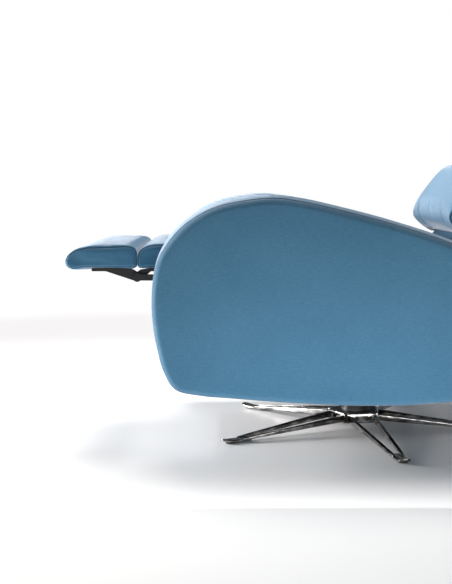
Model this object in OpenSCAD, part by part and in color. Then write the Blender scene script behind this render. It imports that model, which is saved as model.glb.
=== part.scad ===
// Star base swivel recliner, footrest out and back reclined.
// Millimetres, Z up, chair front towards -Y, sitter's left towards +X, origin on the floor under the swivel.

/* [Arms] */
// Width over both arms
chair_w = 760; // [700:5:820]
// Thickness of one arm
arm_w = 118; // [104:1:130]
// Length of an arm, front to rear
arm_len = 813; // [780:1:860]
// Height of an arm, lowest to highest point
arm_h = 448; // [430:1:480]
// Height of the arm's lowest point over the floor
arm_lift = 128; // [124:1:140]
// Distance from the swivel axis to the arm's front
arm_front = 478; // [470:1:500]
// Thickness of the soft outer panel of an arm
arm_pad_t = 28; // [20:1:34]
// Thickness of the band that wraps round an arm's edge
arm_band_t = 10; // [8:0.5:14]
// Thickness of the inner panel of an arm
arm_panel_t = 10; // [8:0.5:14]
// Thickness of an arm's plywood boards
arm_board_t = 12; // [9:1:18]
// Radius of the dowels between an arm's boards
arm_dowel_r = 18; // [12:1:24]

/* [Seat] */
// Length of the seat cushion, front to rear
seat_len = 566; // [540:1:572]
// Height of the seat cushion's front part over the rails' top
seat_foam_t = 25; // [22:1:30]
// Thickness of the seat cushion at its edge
seat_cushion_t = 46; // [38:1:48]
// Rise of the seat cushion's middle
seat_crown = 6; // [2:0.5:7]
// Gap between the seat cushion and an arm
seat_gap = 6; // [4:1:14]
// Height of the top of the seat rails over the floor
seat_rail_z = 400; // [394:1:402]
// Height of a seat rail
seat_rail_h = 24; // [18:1:26]
// Width of a seat rail
seat_rail_w = 22; // [16:1:26]
// Number of straps under the seat
seat_straps = 5; // [3:1:6]
// Width of a strap
strap_w = 50; // [30:1:60]
// Thickness of a strap
strap_t = 3; // [1.5:0.5:3]

/* [Footrest] */
// Width of the footrest pads
footrest_w = 500; // [440:2:504]
// Length of the main footrest pad
main_pad_len = 163; // [140:1:180]
// Length of the middle footrest pad
mid_pad_len = 101; // [80:1:110]
// Thickness of a footrest pad at its edge, with its board
footrest_t = 50; // [40:1:56]
// Rise of a footrest pad's middle
footrest_crown = 6; // [2:0.5:10]
// Thickness of a footrest board
footrest_board_t = 8; // [6:1:10]
// Gap between the two footrest pads
footrest_gap = 1; // [0.6:0.2:6]
// Distance from the swivel axis to the footrest hinge
fold_y = 400; // [396:1:410]
// Height of the footrest hinge over the floor
fold_z = 415; // [413:1:418]
// Distance from the footrest hinge to the middle pad's edge
fold_setback = 14; // [13:0.5:20]

/* [Linkage] */
// Forward reach of a crank, hinge to pin
crank_reach = 117; // [110:1:124]
// Drop of a crank, hinge to pin
crank_drop = 25; // [24:1:30]
// Length of a drive link between its pins
link_len = 200; // [190:1:215]
// Height of a drive link
link_h = 14; // [10:1:16]
// Thickness of the linkage plates
plate_t = 4; // [3:0.5:4]
// Height of a side plate
side_plate_h = 32; // [28:1:34]
// Radius of the linkage pins
pin_r = 5; // [4:0.5:6]
// Radius of the tube that ties the two cranks
drive_tube_r = 9; // [7:0.5:10]

/* [Back] */
// Width of the back cushions
back_w = 500; // [460:2:508]
// Length of the backrest over its hinge
back_len = 690; // [660:1:720]
// Recline from upright as drawn, degrees
back_recline = 38; // [38:1:42]
// Distance from the swivel axis back to the back hinge
back_hinge_y = 215; // [212:1:222]
// Height of the back hinge over the floor
back_hinge_z = 395; // [394:1:398]
// Depth of the back cushions
back_cushion_t = 84; // [70:1:88]
// Rise of a back cushion's middle
back_crown = 12; // [4:1:16]
// Extra depth of the head cushion
head_extra_t = 8; // [0:1:14]
// Height of the back cushions' lower edge over the hinge
cushion_start = 70; // [68:1:78]
// Gap between two back cushions
cushion_gap = 1; // [0.6:0.2:4]
// Depth of a back stile
stile_d = 36; // [30:1:38]
// Thickness of a back stile
stile_t = 6; // [4:0.5:7]
// Depth of the rear shell behind the stiles
shell_d = 34; // [26:1:40]
// Wall of the rear shell
shell_t = 8; // [5:0.5:9]
// Number of straps across the back
back_straps = 7; // [4:1:8]

/* [Base] */
// Number of legs that the base has
leg_count = 5;
// Radius of the base, axis to toe tip
base_r = 374; // [350:1:378]
// Turn of the first leg from straight ahead, degrees
base_turn = 28.2; // [0:0.2:71.8]
// Distance from the axis to the hub's flat sides
hub_r = 50; // [47:0.5:54]
// Height of the hub
hub_h = 24; // [20:1:26]
// Height of the hub's underside over the floor
hub_z = 22; // [20:1:24]
// Height of a leg's rails at the hub
rail_h = 15; // [12:0.5:17]
// Height of a leg's rails at the toe
rail_toe_h = 8; // [6:0.5:9]
// Width of a leg's rails
rail_w = 8; // [6:0.5:10]
// Distance between a leg's rails at the hub
rail_spread = 62; // [52:1:63]
// Distance between a leg's rails at the toe
rail_pinch = 20; // [16:1:26]
// Length of the flat toe
toe_len = 74; // [60:1:90]
// Thickness of the toe
toe_t = 5; // [4:0.5:7]
// Radius of a foot glide
glide_r = 11; // [8:0.5:13]
// Thickness of a foot glide
glide_t = 3; // [2:0.5:4]

/* [Swivel] */
// Radius of the swivel post
post_r = 22; // [20:0.5:23]
// Wall of the bushes between post and housing
bush_t = 4; // [3:0.5:5]
// Length of a bush
bush_len = 20; // [14:1:28]
// Wall of the swivel housing
housing_t = 6; // [5:0.5:8]
// Thickness of the bearing ring on the hub
bearing_t = 8; // [6:0.5:10]
// Length of the turntable plate, side to side
turntable_w = 340; // [330:2:380]
// Length of the turntable plate, front to rear
turntable_d = 240; // [200:2:280]
// Thickness of the turntable plate
turntable_t = 6; // [4:0.5:6]

/* [Frame] */
// Distance between the chassis rails' middles
rail_gauge = 300; // [280:2:310]
// Width of a chassis rail
chassis_rail_w = 40; // [30:1:44]
// Height of the chassis rails and the cross rails
frame_h = 30; // [26:1:30]
// Width of a cross rail
cross_w = 40; // [30:1:44]
// Distance from the swivel axis to the front cross rail's middle
front_cross_y = 340; // [320:1:344]
// Distance from the swivel axis to the middle cross rail's middle
middle_cross_y = 205; // [195:1:215]
// Distance from the swivel axis back to the rear cross rail's middle
rear_cross_y = 130; // [126:1:132]
// Thickness of the rear panel between the arms
rear_panel_t = 12; // [8:1:14]
// Width of a seat post
post_w = 28; // [20:1:28]

/* [Strut] */
// Radius of the strut's cylinder
strut_r = 13; // [11:0.5:14]
// Radius of the strut's rod
rod_r = 5; // [4:0.5:6]
// Height of the strut's lower pin over its cross rail
strut_rise = 61; // [56:1:66]
// Length of the lug below the back hinge
lug_reach = 95; // [92:1:98]
// Distance of the lug's pin behind the hinge line
lug_set = 15; // [13:1:17]
// Radius of the strut's eyes
eye_r = 12; // [11.5:0.5:13]
// Length of the strut's cylinder
cylinder_len = 236; // [200:1:250]

/* [Lever] */
// Length of the release lever forward of its shaft
lever_len = 96; // [80:1:110]
// Radius of the release lever's shaft
lever_r = 6; // [5:0.5:7]
// Length of the lever's grip
grip_len = 60; // [40:1:64]
// Width of the lever's grip
grip_w = 34; // [24:1:40]
// Thickness of the lever's grip
grip_t = 12; // [10:1:13]

/* [Hidden] */
$fn = 48;

// Colours as they show in daylight
fabric_colour = [0.30, 0.47, 0.58];
foam_colour = [0.86, 0.82, 0.66];
ply_colour = [0.74, 0.60, 0.42];
steel_colour = [0.12, 0.12, 0.13];
chrome_colour = [0.78, 0.79, 0.80];
rubber_colour = [0.10, 0.10, 0.10];
strap_colour = [0.18, 0.18, 0.19];
nylon_colour = [0.88, 0.88, 0.84];

// Running clearance of a pin in its eye, and the play of an eye that is left open
run_fit = 0.05;
open_play = 0.4;
// Gap beside a plate that turns, overrun of a cut, and the rest gap of soft pieces
side_gap = 0.5;
cut_over = 1;
soft_gap = 0.3;

// Arm outline from the lowest front point upwards and back, as shares of its length and height
arm_shares = [
    [0.000, 0.495], [0.008, 0.648], [0.032, 0.762], [0.087, 0.876],
    [0.173, 0.960], [0.299, 1.000], [0.390, 0.987], [0.520, 0.934],
    [0.650, 0.870], [0.797, 0.780], [0.914, 0.664], [0.984, 0.500],
    [0.998, 0.315], [0.960, 0.145], [0.868, 0.040], [0.720, 0.008],
    [0.572, 0.000], [0.390, 0.011], [0.207, 0.036], [0.129, 0.051],
    [0.064, 0.087], [0.032, 0.165], [0.017, 0.250], [0.005, 0.362]
];
arm_steps = 2;
// Places of the dowels between an arm's boards, as shares of its length and height
dowel_shares = [
    [0.12, 0.30], [0.12, 0.62], [0.33, 0.86], [0.60, 0.74],
    [0.85, 0.50], [0.82, 0.18], [0.45, 0.12]
];

arm_out = chair_w / 2;
arm_in = arm_out - arm_w;
arm_core_out = arm_out - arm_pad_t;
arm_core_in = arm_in + arm_panel_t;
// Roundings of an arm's band and panel: how far they stand in and drop
band_edge = 8;
band_soft_share = 0.25;
band_lip_share = 0.7;
pad_edge = 14;
pad_rise_share = 0.45;
// Rounding of the outer pad's rim, as shares of its rise and of pad_edge
pad_round_shares = [[0.45, 0.25], [0.12, 1], [0, 3]];

// Linkage planes, each the inner face of its plate, from the arm inwards
side_plate_x = arm_in - plate_t;
crank_x = side_plate_x - 2 * plate_t;
link_x = crank_x - 1.5 * plate_t;
bracket_x = link_x - 2 * plate_t;
eye_w = 3;
bracket_eye_w = 4.8;
pin_shoulder = 4;
side_web_share = 0.9;
pin_head_t = 3;

// Linkage pivots as [y, z]
fold_pivot = [-fold_y, fold_z];
fold_pin = fold_pivot + [-crank_reach, -crank_drop];
crank_pivot = fold_pivot + [link_len, 0];
crank_pin = fold_pin + [link_len, 0];
drive_tube_offset_share = 0.53;
drive_tube_at = crank_pivot - [crank_reach, crank_reach] * drive_tube_offset_share;
back_pivot = [back_hinge_y, back_hinge_z];

// Footrest heights and lengths, from its hinge
bracket_h = 8;
footrest_drop = 4;
footrest_z = fold_z - footrest_drop;
mid_rear_y = -fold_y - fold_setback;
mid_front_y = mid_rear_y - mid_pad_len + footrest_gap / 2;
main_rear_y = mid_front_y - footrest_gap;
main_front_y = main_rear_y - main_pad_len;
board_inset = 8;
board_lap = 2;
bracket_inset = 62;
bracket_bend = 70;
bracket_rear = 29;
bracket_web = 7.6;
bracket_belly = [-12, 9];
bracket_belly_r = 8.8;
bracket_heel = [9, 10];
bracket_heel_r = 7.6;

// Frame heights
hub_top = hub_z + hub_h;
turntable_z = arm_lift;
frame_z = turntable_z + turntable_t;
cross_z = frame_z + frame_h;
cross_top = cross_z + frame_h;
seat_rail_under = seat_rail_z - seat_rail_h;
seat_setback = 16;
seat_front_y = -fold_y + seat_setback;
seat_rear_y = seat_front_y + seat_len;
seat_mid_y = (seat_front_y + seat_rear_y) / 2;
seat_link_gap = 14;
seat_half = bracket_x - seat_link_gap;
seat_rail_setback = 4;
seat_rail_front = seat_front_y + seat_rail_setback;
seat_rail_rear = rear_cross_y + post_w / 2;
seat_foam_z = seat_rail_z + strap_t;
seat_cushion_z = seat_foam_z + seat_foam_t;
seat_post_x = seat_half - post_w / 2;
chassis_front = -front_cross_y - cross_w / 2;
chassis_rear = rear_cross_y + cross_w / 2;
rear_panel_setback = 21;
rear_panel_y = back_hinge_y + rear_panel_setback;
rear_panel_drop = 24;
plate_bolt_share = 0.38;
// Places of the side plates' bolts between the crank pivot and the back hinge
side_bolt_shares = [0.35, 0.65];

// Base and swivel
glide_at = base_r - toe_len / 3;
leg_plate_t = 6;
leg_plate_r = hub_r + leg_plate_t;
rail_lap_share = 0.55;
rail_end = base_r - toe_len * rail_lap_share;
toe_w = rail_pinch + rail_w;
toe_lift = 5;
toe_bend = 16;
screw_r = 5;
screw_t = 4;
screw_share = 0.2;
bolt_r = 7;
bolt_t = 4;
bearing_w = 12;
housing_z = hub_top + bearing_t + soft_gap;
housing_r = post_r + bush_t + housing_t;
post_gap = 8;

// Back frame, measured along the back from its hinge and forwards from it
stile_front_share = 0.7;
stile_front = stile_d * stile_front_share;
stile_back = stile_d - stile_front;
stile_gap = 16;
stile_out = side_plate_x - stile_gap;
stile_in = stile_out - stile_t;
stile_drop = 54;
stile_top = back_len - stile_drop;
back_rail_h = 26;
back_rail_t = 22;
back_rail_low = 22;
shell_start = 20;
shell_rise_share = 0.6;
shell_facets = 160;
cushion_back = stile_front + strap_t;
lumbar_share = 0.30;
middle_share = 0.36;
cushion_run = back_len - cushion_start;
lumbar_len = cushion_run * lumbar_share;
middle_len = cushion_run * middle_share;
head_len = cushion_run - lumbar_len - middle_len - 2 * cushion_gap;
back_strap_from = cushion_start + strap_w / 2;
back_strap_to = stile_top - strap_w;

// Strut between its lower pin and the back's lug
strut_from = [-middle_cross_y, cross_top + strut_rise];
strut_to = back_pivot
    - lug_reach * [sin(back_recline), cos(back_recline)]
    + lug_set * [cos(back_recline), -sin(back_recline)];
strut_run = norm(strut_to - strut_from);
strut_tilt = atan2(strut_to[1] - strut_from[1], strut_to[0] - strut_from[0]);
strut_eye_w = 16;
ear_gap = 2;
ear_t = 4;
ear_in = strut_eye_w / 2 + ear_gap;
ear_w = 24;
cylinder_start = 16;
neck_r = 7;
rod_start = 60;
strut_play = 3.4;

// Release lever under the right arm
lever_drop = 22;
lever_z = frame_z - lever_drop;
lever_y = -middle_cross_y;
lever_in = rail_gauge / 2 - chassis_rail_w / 2;
lever_ear_t = 5;
lever_ear_r = 11;
lever_inset = 20;
lever_out = arm_out - grip_w / 2 - lever_inset;
lever_bar_t = 6;

// Points of a smooth closed curve through the given ones
function bend(a, b, c, d, t) =
    (2 * b + (c - a) * t + (2 * a - 5 * b + 4 * c - d) * t * t + (3 * b - a - 3 * c + d) * t * t * t) / 2;
function closed_curve(p, steps) = [
    for (i = [0:len(p) - 1])
        for (k = [0:steps - 1])
            bend(p[(i + len(p) - 1) % len(p)], p[i], p[(i + 1) % len(p)], p[(i + 2) % len(p)], k / steps)
];

// The same closed curve moved inwards by a distance
function inset(p, d) = [
    for (i = [0:len(p) - 1])
        let (run = p[(i + 1) % len(p)] - p[(i + len(p) - 1) % len(p)])
            p[i] + d * [run[1], -run[0]] / norm(run)
];

arm_curve = closed_curve(
    [for (s = arm_shares) [s[0] * arm_len - arm_front, s[1] * arm_h + arm_lift]], arm_steps);
arm_middle = [arm_len / 2 - arm_front, arm_h / 2 + arm_lift];

// A ring of an arm: its outline moved inwards, at a place across the chair
function arm_ring(x, d) = [for (p = inset(arm_curve, d)) [x, p[0], p[1]]];

// Closed skin over rings of points, with a fan at each end
module skin(rings, first, last) {
    n = len(rings[0]);
    points = concat([first], [for (r = rings) each r], [last]);
    end = len(points) - 1;
    faces = concat(
        [for (i = [0:n - 1]) [0, 1 + i, 1 + (i + 1) % n]],
        [for (k = [0:len(rings) - 2]) for (i = [0:n - 1])
            [1 + k * n + i, 1 + (k + 1) * n + i, 1 + (k + 1) * n + (i + 1) % n]],
        [for (k = [0:len(rings) - 2]) for (i = [0:n - 1])
            [1 + k * n + i, 1 + (k + 1) * n + (i + 1) % n, 1 + k * n + (i + 1) % n]],
        [for (i = [0:n - 1]) [end, end - n + (i + 1) % n, end - n + i]]
    );
    polyhedron(points, faces);
}

// Closed hoop over rings of points, the last joined to the first
module hoop(rings) {
    n = len(rings[0]);
    m = len(rings);
    faces = concat(
        [for (k = [0:m - 1]) for (i = [0:n - 1])
            [k * n + i, ((k + 1) % m) * n + i, ((k + 1) % m) * n + (i + 1) % n]],
        [for (k = [0:m - 1]) for (i = [0:n - 1])
            [k * n + i, ((k + 1) % m) * n + (i + 1) % n, k * n + (i + 1) % n]]
    );
    polyhedron([for (r = rings) each r], faces);
}

// A boxed cushion on z = 0, its sides drawn in between the corners and its top crowned
pillow_power = 6;
draw_share = 0.008;
corner_share = 0.016;
function brim(u) = pow(max(0, 1 - pow(abs(u), pillow_power)), 1 / pillow_power);
function crowd(k, n) = sin(90 * (2 * k / n - 1));
function pulled(u, v) = u * (1 - draw_share * (1 - v * v) - corner_share * pow(u * v, 8));
module pillow(w, l, t, crown, nx, ny) {
    top = [
        for (i = [0:nx]) for (j = [0:ny])
            let (u = crowd(i, nx), v = crowd(j, ny), lift = brim(u) * brim(v))
                [pulled(u, v) * w / 2, pulled(v, u) * l / 2,
                    t / 2 * (1 + lift) + crown * (1 - u * u) * (1 - v * v)]
    ];
    under = [
        for (i = [1:nx - 1]) for (j = [1:ny - 1])
            let (u = crowd(i, nx), v = crowd(j, ny))
                [pulled(u, v) * w / 2, pulled(v, u) * l / 2, t / 2 * (1 - brim(u) * brim(v))]
    ];
    function a(i, j) = i * (ny + 1) + j;
    function b(i, j) = (i == 0 || i == nx || j == 0 || j == ny) ? a(i, j)
        : (nx + 1) * (ny + 1) + (i - 1) * (ny - 1) + j - 1;
    // Each diagonal runs towards the middle, so that a corner's two skins share no triangle
    faces = [
        for (i = [0:nx - 1]) for (j = [0:ny - 1])
            each ((i < nx / 2) == (j < ny / 2) ? [
                [a(i, j), a(i, j + 1), a(i + 1, j + 1)],
                [a(i, j), a(i + 1, j + 1), a(i + 1, j)],
                [b(i, j), b(i + 1, j + 1), b(i, j + 1)],
                [b(i, j), b(i + 1, j), b(i + 1, j + 1)]
            ] : [
                [a(i, j), a(i, j + 1), a(i + 1, j)],
                [a(i, j + 1), a(i + 1, j + 1), a(i + 1, j)],
                [b(i, j), b(i + 1, j), b(i, j + 1)],
                [b(i, j + 1), b(i + 1, j), b(i + 1, j + 1)]
            ])
    ];
    polyhedron(concat(top, under), faces);
}

// A flat outline in [y, z] as a plate from one place across the chair, and both sides' plates
module plate(x, t) {
    translate([x, 0, 0]) rotate([90, 0, 90]) linear_extrude(t) children();
}
module side(left) {
    if (left) children();
    else mirror([1, 0, 0]) children();
}
module both_sides() {
    children();
    mirror([1, 0, 0]) children();
}
module bar_2d(p, q, w) {
    translate(p) rotate(atan2(q[1] - p[1], q[0] - p[0]))
        translate([0, -w / 2]) square([norm(q - p), w]);
}
module rod_x(p, x0, x1, r) {
    translate([x0, p[0], p[1]]) rotate([0, 90, 0]) cylinder(r = r, h = x1 - x0);
}
module box(x0, x1, y0, y1, z0, z1) {
    translate([x0, y0, z0]) cube([x1 - x0, y1 - y0, z1 - z0]);
}

// The back's own frame: Z up along the back from its hinge, -Y forwards
module on_back() {
    translate([0, back_pivot[0], back_pivot[1]]) rotate([-back_recline, 0, 0]) children();
}
// The strut's own frame: X towards the lug, from the lower pin
module on_strut() {
    translate([0, strut_from[0], strut_from[1]]) rotate([strut_tilt, 0, 0]) rotate([0, 0, 90]) children();
}

// Base
module each_leg() {
    for (i = [1:leg_count]) on_leg(i) children();
}
module on_leg(i) {
    rotate(base_turn - 90 + (i - 1) * 360 / leg_count) children();
}
module base_hub() {
    color(steel_colour) difference() {
        translate([0, 0, hub_z])
            rotate(base_turn - 90 + 180 / leg_count)
                cylinder(r = hub_r / cos(180 / leg_count), h = hub_h, $fn = leg_count);
        translate([0, 0, hub_z - cut_over]) cylinder(r = post_r, h = hub_h + 2 * cut_over);
    }
}
module leg_rail() {
    splay = atan2((rail_spread - rail_pinch) / 2, rail_end - leg_plate_r);
    run = norm([(rail_spread - rail_pinch) / 2, rail_end - leg_plate_r]);
    rail_hub_z = hub_z + (hub_h - rail_h) / 2;
    translate([leg_plate_r - leg_plate_t / 2, rail_spread / 2, 0]) rotate(-splay)
        translate([0, rail_w / 2, 0]) rotate([90, 0, 0])
            linear_extrude(rail_w) polygon([
                [0, rail_hub_z], [run, glide_t + toe_t / 2],
                [run, glide_t + rail_toe_h], [0, rail_hub_z + rail_h]
            ]);
}
module leg_toe() {
    toe_top = glide_t + toe_t;
    intersection() {
        translate([0, toe_w, 0]) rotate([90, 0, 0]) linear_extrude(2 * toe_w) polygon([
            [base_r - toe_len, glide_t], [base_r - toe_bend, glide_t], [base_r, glide_t + toe_lift],
            [base_r, toe_top + toe_lift], [base_r - toe_bend, toe_top], [base_r - toe_len, toe_top]
        ]);
        union() {
            translate([base_r - toe_w / 2, 0, 0]) cylinder(r = toe_w / 2, h = toe_top + 2 * toe_lift);
            box(base_r - toe_len, base_r - toe_w / 2, -toe_w / 2, toe_w / 2, 0, toe_top + 2 * toe_lift);
        }
    }
}
module base_leg(i) {
    leg_plate_w = rail_spread + rail_w;
    color(chrome_colour) on_leg(i) {
        box(hub_r, leg_plate_r, -leg_plate_w / 2, leg_plate_w / 2, hub_z, hub_top);
        leg_rail();
        mirror([0, 1, 0]) leg_rail();
        leg_toe();
    }
}
module foot_glides() {
    color(rubber_colour) each_leg() translate([glide_at, 0, 0]) cylinder(r = glide_r, h = glide_t);
}
module leg_screws() {
    color(steel_colour) each_leg()
        for (s = [-1, 1])
            translate([leg_plate_r, s * rail_spread * screw_share, hub_z + hub_h / 2])
                rotate([0, 90, 0]) cylinder(r = screw_r, h = screw_t);
}
module swivel_post() {
    color(steel_colour) translate([0, 0, hub_z]) cylinder(r = post_r, h = turntable_z - post_gap - hub_z);
}
module thrust_bearing() {
    color(nylon_colour) translate([0, 0, hub_top]) difference() {
        cylinder(r = post_r + bearing_w, h = bearing_t);
        translate([0, 0, -cut_over]) cylinder(r = post_r, h = bearing_t + 2 * cut_over);
    }
}

// Swivelling frame
module swivel_housing() {
    color(steel_colour) difference() {
        translate([0, 0, housing_z]) cylinder(r = housing_r, h = turntable_z - housing_z);
        translate([0, 0, housing_z - cut_over])
            cylinder(r = post_r + bush_t, h = turntable_z - housing_z + 2 * cut_over);
    }
}
module post_bushes() {
    color(nylon_colour)
        for (z = [housing_z, turntable_z - post_gap - bush_len])
            translate([0, 0, z]) difference() {
                cylinder(r = post_r + bush_t, h = bush_len);
                translate([0, 0, -cut_over]) cylinder(r = post_r + run_fit, h = bush_len + 2 * cut_over);
            }
}
module turntable_plate() {
    color(steel_colour)
        box(-turntable_w / 2, turntable_w / 2, -turntable_d / 2, turntable_d / 2, turntable_z, frame_z);
}
module chassis_rail(left) {
    color(steel_colour) side(left)
        box(rail_gauge / 2 - chassis_rail_w / 2, rail_gauge / 2 + chassis_rail_w / 2,
            chassis_front, chassis_rear, frame_z, cross_z);
}
module cross_rails() {
    color(ply_colour)
        for (y = [-front_cross_y, -middle_cross_y, rear_cross_y])
            box(-arm_in, arm_in, y - cross_w / 2, y + cross_w / 2, cross_z, cross_top);
}
module rear_panel() {
    color(fabric_colour)
        box(-arm_in, arm_in, rear_panel_y, rear_panel_y + rear_panel_t,
            frame_z, back_hinge_z - rear_panel_drop);
}
module seat_posts() {
    color(ply_colour) both_sides()
        for (y = [-front_cross_y, rear_cross_y])
            box(seat_post_x - post_w / 2, seat_post_x + post_w / 2,
                y - post_w / 2, y + post_w / 2, cross_top, seat_rail_under);
}
module frame_bolts() {
    plate_bolt_y = turntable_d * plate_bolt_share;
    color(chrome_colour) both_sides() {
        for (y = [-plate_bolt_y, plate_bolt_y])
            translate([rail_gauge / 2, y, turntable_z - bolt_t]) cylinder(r = bolt_r, h = bolt_t);
        for (k = side_bolt_shares)
            rod_x(crank_pivot + k * (back_pivot - crank_pivot), side_plate_x - bolt_t, side_plate_x, bolt_r);
    }
}

// Seat
module seat_rails() {
    color(ply_colour) {
        both_sides()
            box(seat_half - seat_rail_w, seat_half, seat_rail_front, seat_rail_rear,
                seat_rail_under, seat_rail_z);
        for (y = [seat_rail_front, seat_rail_rear - seat_rail_w])
            box(-seat_half + seat_rail_w, seat_half - seat_rail_w, y, y + seat_rail_w,
                seat_rail_under, seat_rail_z);
    }
}
module seat_webbing() {
    pitch = (2 * (seat_half - seat_rail_w) - strap_w) / (seat_straps - 1);
    color(strap_colour)
        for (i = [0:seat_straps - 1])
            translate([-seat_half + seat_rail_w + i * pitch, seat_rail_front, seat_rail_z])
                cube([strap_w, seat_rail_rear - seat_rail_front, strap_t]);
}
module seat_foam() {
    color(foam_colour)
        box(-seat_half, seat_half, seat_rail_front, seat_rail_rear, seat_foam_z, seat_cushion_z);
}
module seat_cushion() {
    color(fabric_colour) translate([0, seat_mid_y, seat_cushion_z])
        pillow(2 * (arm_in - seat_gap), seat_len, seat_cushion_t, seat_crown, 16, 16);
}

// Arms
module arm_board(x) {
    plate(x, arm_board_t) polygon(inset(arm_curve, arm_band_t));
}
module arm_frame(left) {
    color(ply_colour) side(left) {
        arm_board(arm_core_in);
        arm_board(arm_core_out - arm_board_t);
        for (s = dowel_shares)
            rod_x([s[0] * arm_len - arm_front, s[1] * arm_h + arm_lift],
                arm_core_in + arm_board_t / 2, arm_core_out - arm_board_t / 2, arm_dowel_r);
    }
}
module arm_inner_panel(left) {
    color(fabric_colour) side(left) plate(arm_in, arm_panel_t) polygon(inset(arm_curve, arm_band_t));
}
module arm_band(left) {
    band_in = arm_in + band_edge * band_soft_share;
    band_out = arm_out - band_edge * (1 - band_soft_share);
    color(fabric_colour) side(left) hoop([
        arm_ring(band_in, arm_band_t),
        arm_ring(band_in, band_edge * band_soft_share),
        arm_ring(band_in + band_edge * band_soft_share, 0),
        arm_ring(band_out - band_edge, 0),
        arm_ring(band_out - band_edge / 2, band_edge * band_soft_share),
        arm_ring(band_out, arm_band_t * band_lip_share),
        arm_ring(band_out, arm_band_t)
    ]);
}
module arm_outer_pad(left) {
    rise = arm_pad_t * pad_rise_share;
    color(fabric_colour) side(left) skin([
            arm_ring(arm_core_out, arm_band_t),
            arm_ring(arm_out - rise, arm_band_t),
            for (s = pad_round_shares) arm_ring(arm_out - rise * s[0], arm_band_t + pad_edge * s[1])
        ],
        [arm_core_out, arm_middle[0], arm_middle[1]],
        [arm_out, arm_middle[0], arm_middle[1]]);
}

// Linkage that is fixed to the arms
module side_plate(left) {
    color(steel_colour) side(left) plate(side_plate_x, plate_t) {
        for (p = [fold_pivot, crank_pivot, back_pivot]) translate(p) circle(r = side_plate_h / 2);
        bar_2d(fold_pivot, crank_pivot, side_plate_h * side_web_share);
        bar_2d(crank_pivot, back_pivot, side_plate_h * side_web_share);
    }
}
// A shouldered pin from the side plate in to a turning plate, with a head on the far side
module shoulder_pin(p, x, t) {
    rod_x(p, x + t + side_gap, side_plate_x, pin_r + pin_shoulder);
    rod_x(p, x - side_gap, x + t + side_gap, pin_r);
    rod_x(p, x - side_gap - pin_head_t, x - side_gap, pin_r + pin_head_t);
}
module pivot_pins() {
    color(chrome_colour) {
        both_sides() {
            shoulder_pin(fold_pivot, bracket_x, plate_t);
            shoulder_pin(crank_pivot, crank_x, plate_t);
            shoulder_pin(back_pivot, stile_in, stile_t);
        }
        rod_x(strut_from, -ear_in - ear_t, ear_in + ear_t, pin_r);
    }
}

// Crank pair, its tube and the drive links
module crank(left) {
    color(steel_colour) side(left) plate(crank_x, plate_t) difference() {
        union() {
            for (p = [crank_pivot, crank_pin, drive_tube_at]) translate(p) circle(r = pin_r + 2 * eye_w);
            bar_2d(crank_pivot, crank_pin, link_h);
            bar_2d(crank_pivot, drive_tube_at, link_h);
        }
        for (p = [crank_pivot, crank_pin]) translate(p) circle(r = pin_r + run_fit);
    }
}
module drive_tube() {
    color(steel_colour) rod_x(drive_tube_at, -crank_x, crank_x, drive_tube_r);
}
module drive_link(left) {
    color(steel_colour) side(left) {
        plate(link_x, plate_t) {
            for (p = [fold_pin, crank_pin]) translate(p) circle(r = link_h / 2 + eye_w);
            bar_2d(fold_pin, crank_pin, link_h);
        }
        rod_x(crank_pin, link_x + plate_t / 2, crank_x + plate_t + side_gap, pin_r);
        rod_x(fold_pin, bracket_x - side_gap, link_x + plate_t / 2, pin_r);
    }
}

// Footrest
module footrest_bracket(left) {
    level = footrest_z - bracket_h / 2;
    front = [main_front_y + bracket_inset, level];
    bend_front = [fold_pin[0] - bracket_bend, level];
    bend_mid = [fold_pin[0] - bracket_bend / 2, level];
    bend_rear = [fold_pin[0] + bracket_rear, level];
    rear = [mid_rear_y, level];
    color(steel_colour) side(left) plate(bracket_x, plate_t) difference() {
        union() {
            bar_2d(front, bend_front, bracket_web);
            hull() {
                for (p = [bend_front, bend_mid]) translate(p) circle(r = bracket_h / 2);
                translate(fold_pin + bracket_belly) circle(r = bracket_belly_r);
                translate(fold_pin) circle(r = pin_r + bracket_eye_w);
            }
            hull() {
                translate(bend_rear) circle(r = bracket_h / 2);
                translate(fold_pin + bracket_heel) circle(r = bracket_heel_r);
                translate(fold_pin) circle(r = pin_r + bracket_eye_w);
            }
            bar_2d(bend_rear, rear, bracket_web);
            bar_2d(rear, fold_pivot, bracket_web);
            for (p = [front, rear]) translate(p) circle(r = bracket_h / 2);
            for (p = [fold_pin, fold_pivot]) translate(p) circle(r = pin_r + bracket_eye_w);
        }
        translate(fold_pivot) circle(r = pin_r + run_fit);
        translate(fold_pin) circle(r = pin_r + open_play);
    }
}
module footrest_boards() {
    half = bracket_x + plate_t + board_lap;
    color(ply_colour)
        for (run = [[main_front_y, main_rear_y], [mid_front_y, mid_rear_y]])
            box(-half, half, run[0] + board_inset, run[1] - board_inset / 2,
                footrest_z, footrest_z + footrest_board_t);
}
module footrest_cushion(y0, y1, nx, ny) {
    color(fabric_colour) translate([0, (y0 + y1) / 2, footrest_z + footrest_board_t])
        pillow(footrest_w, y1 - y0, footrest_t - footrest_board_t, footrest_crown, nx, ny);
}
module footrest_pad() {
    footrest_cushion(main_front_y, main_rear_y, 18, 12);
}
module mid_pad() {
    footrest_cushion(mid_front_y, mid_rear_y, 18, 8);
}

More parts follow.
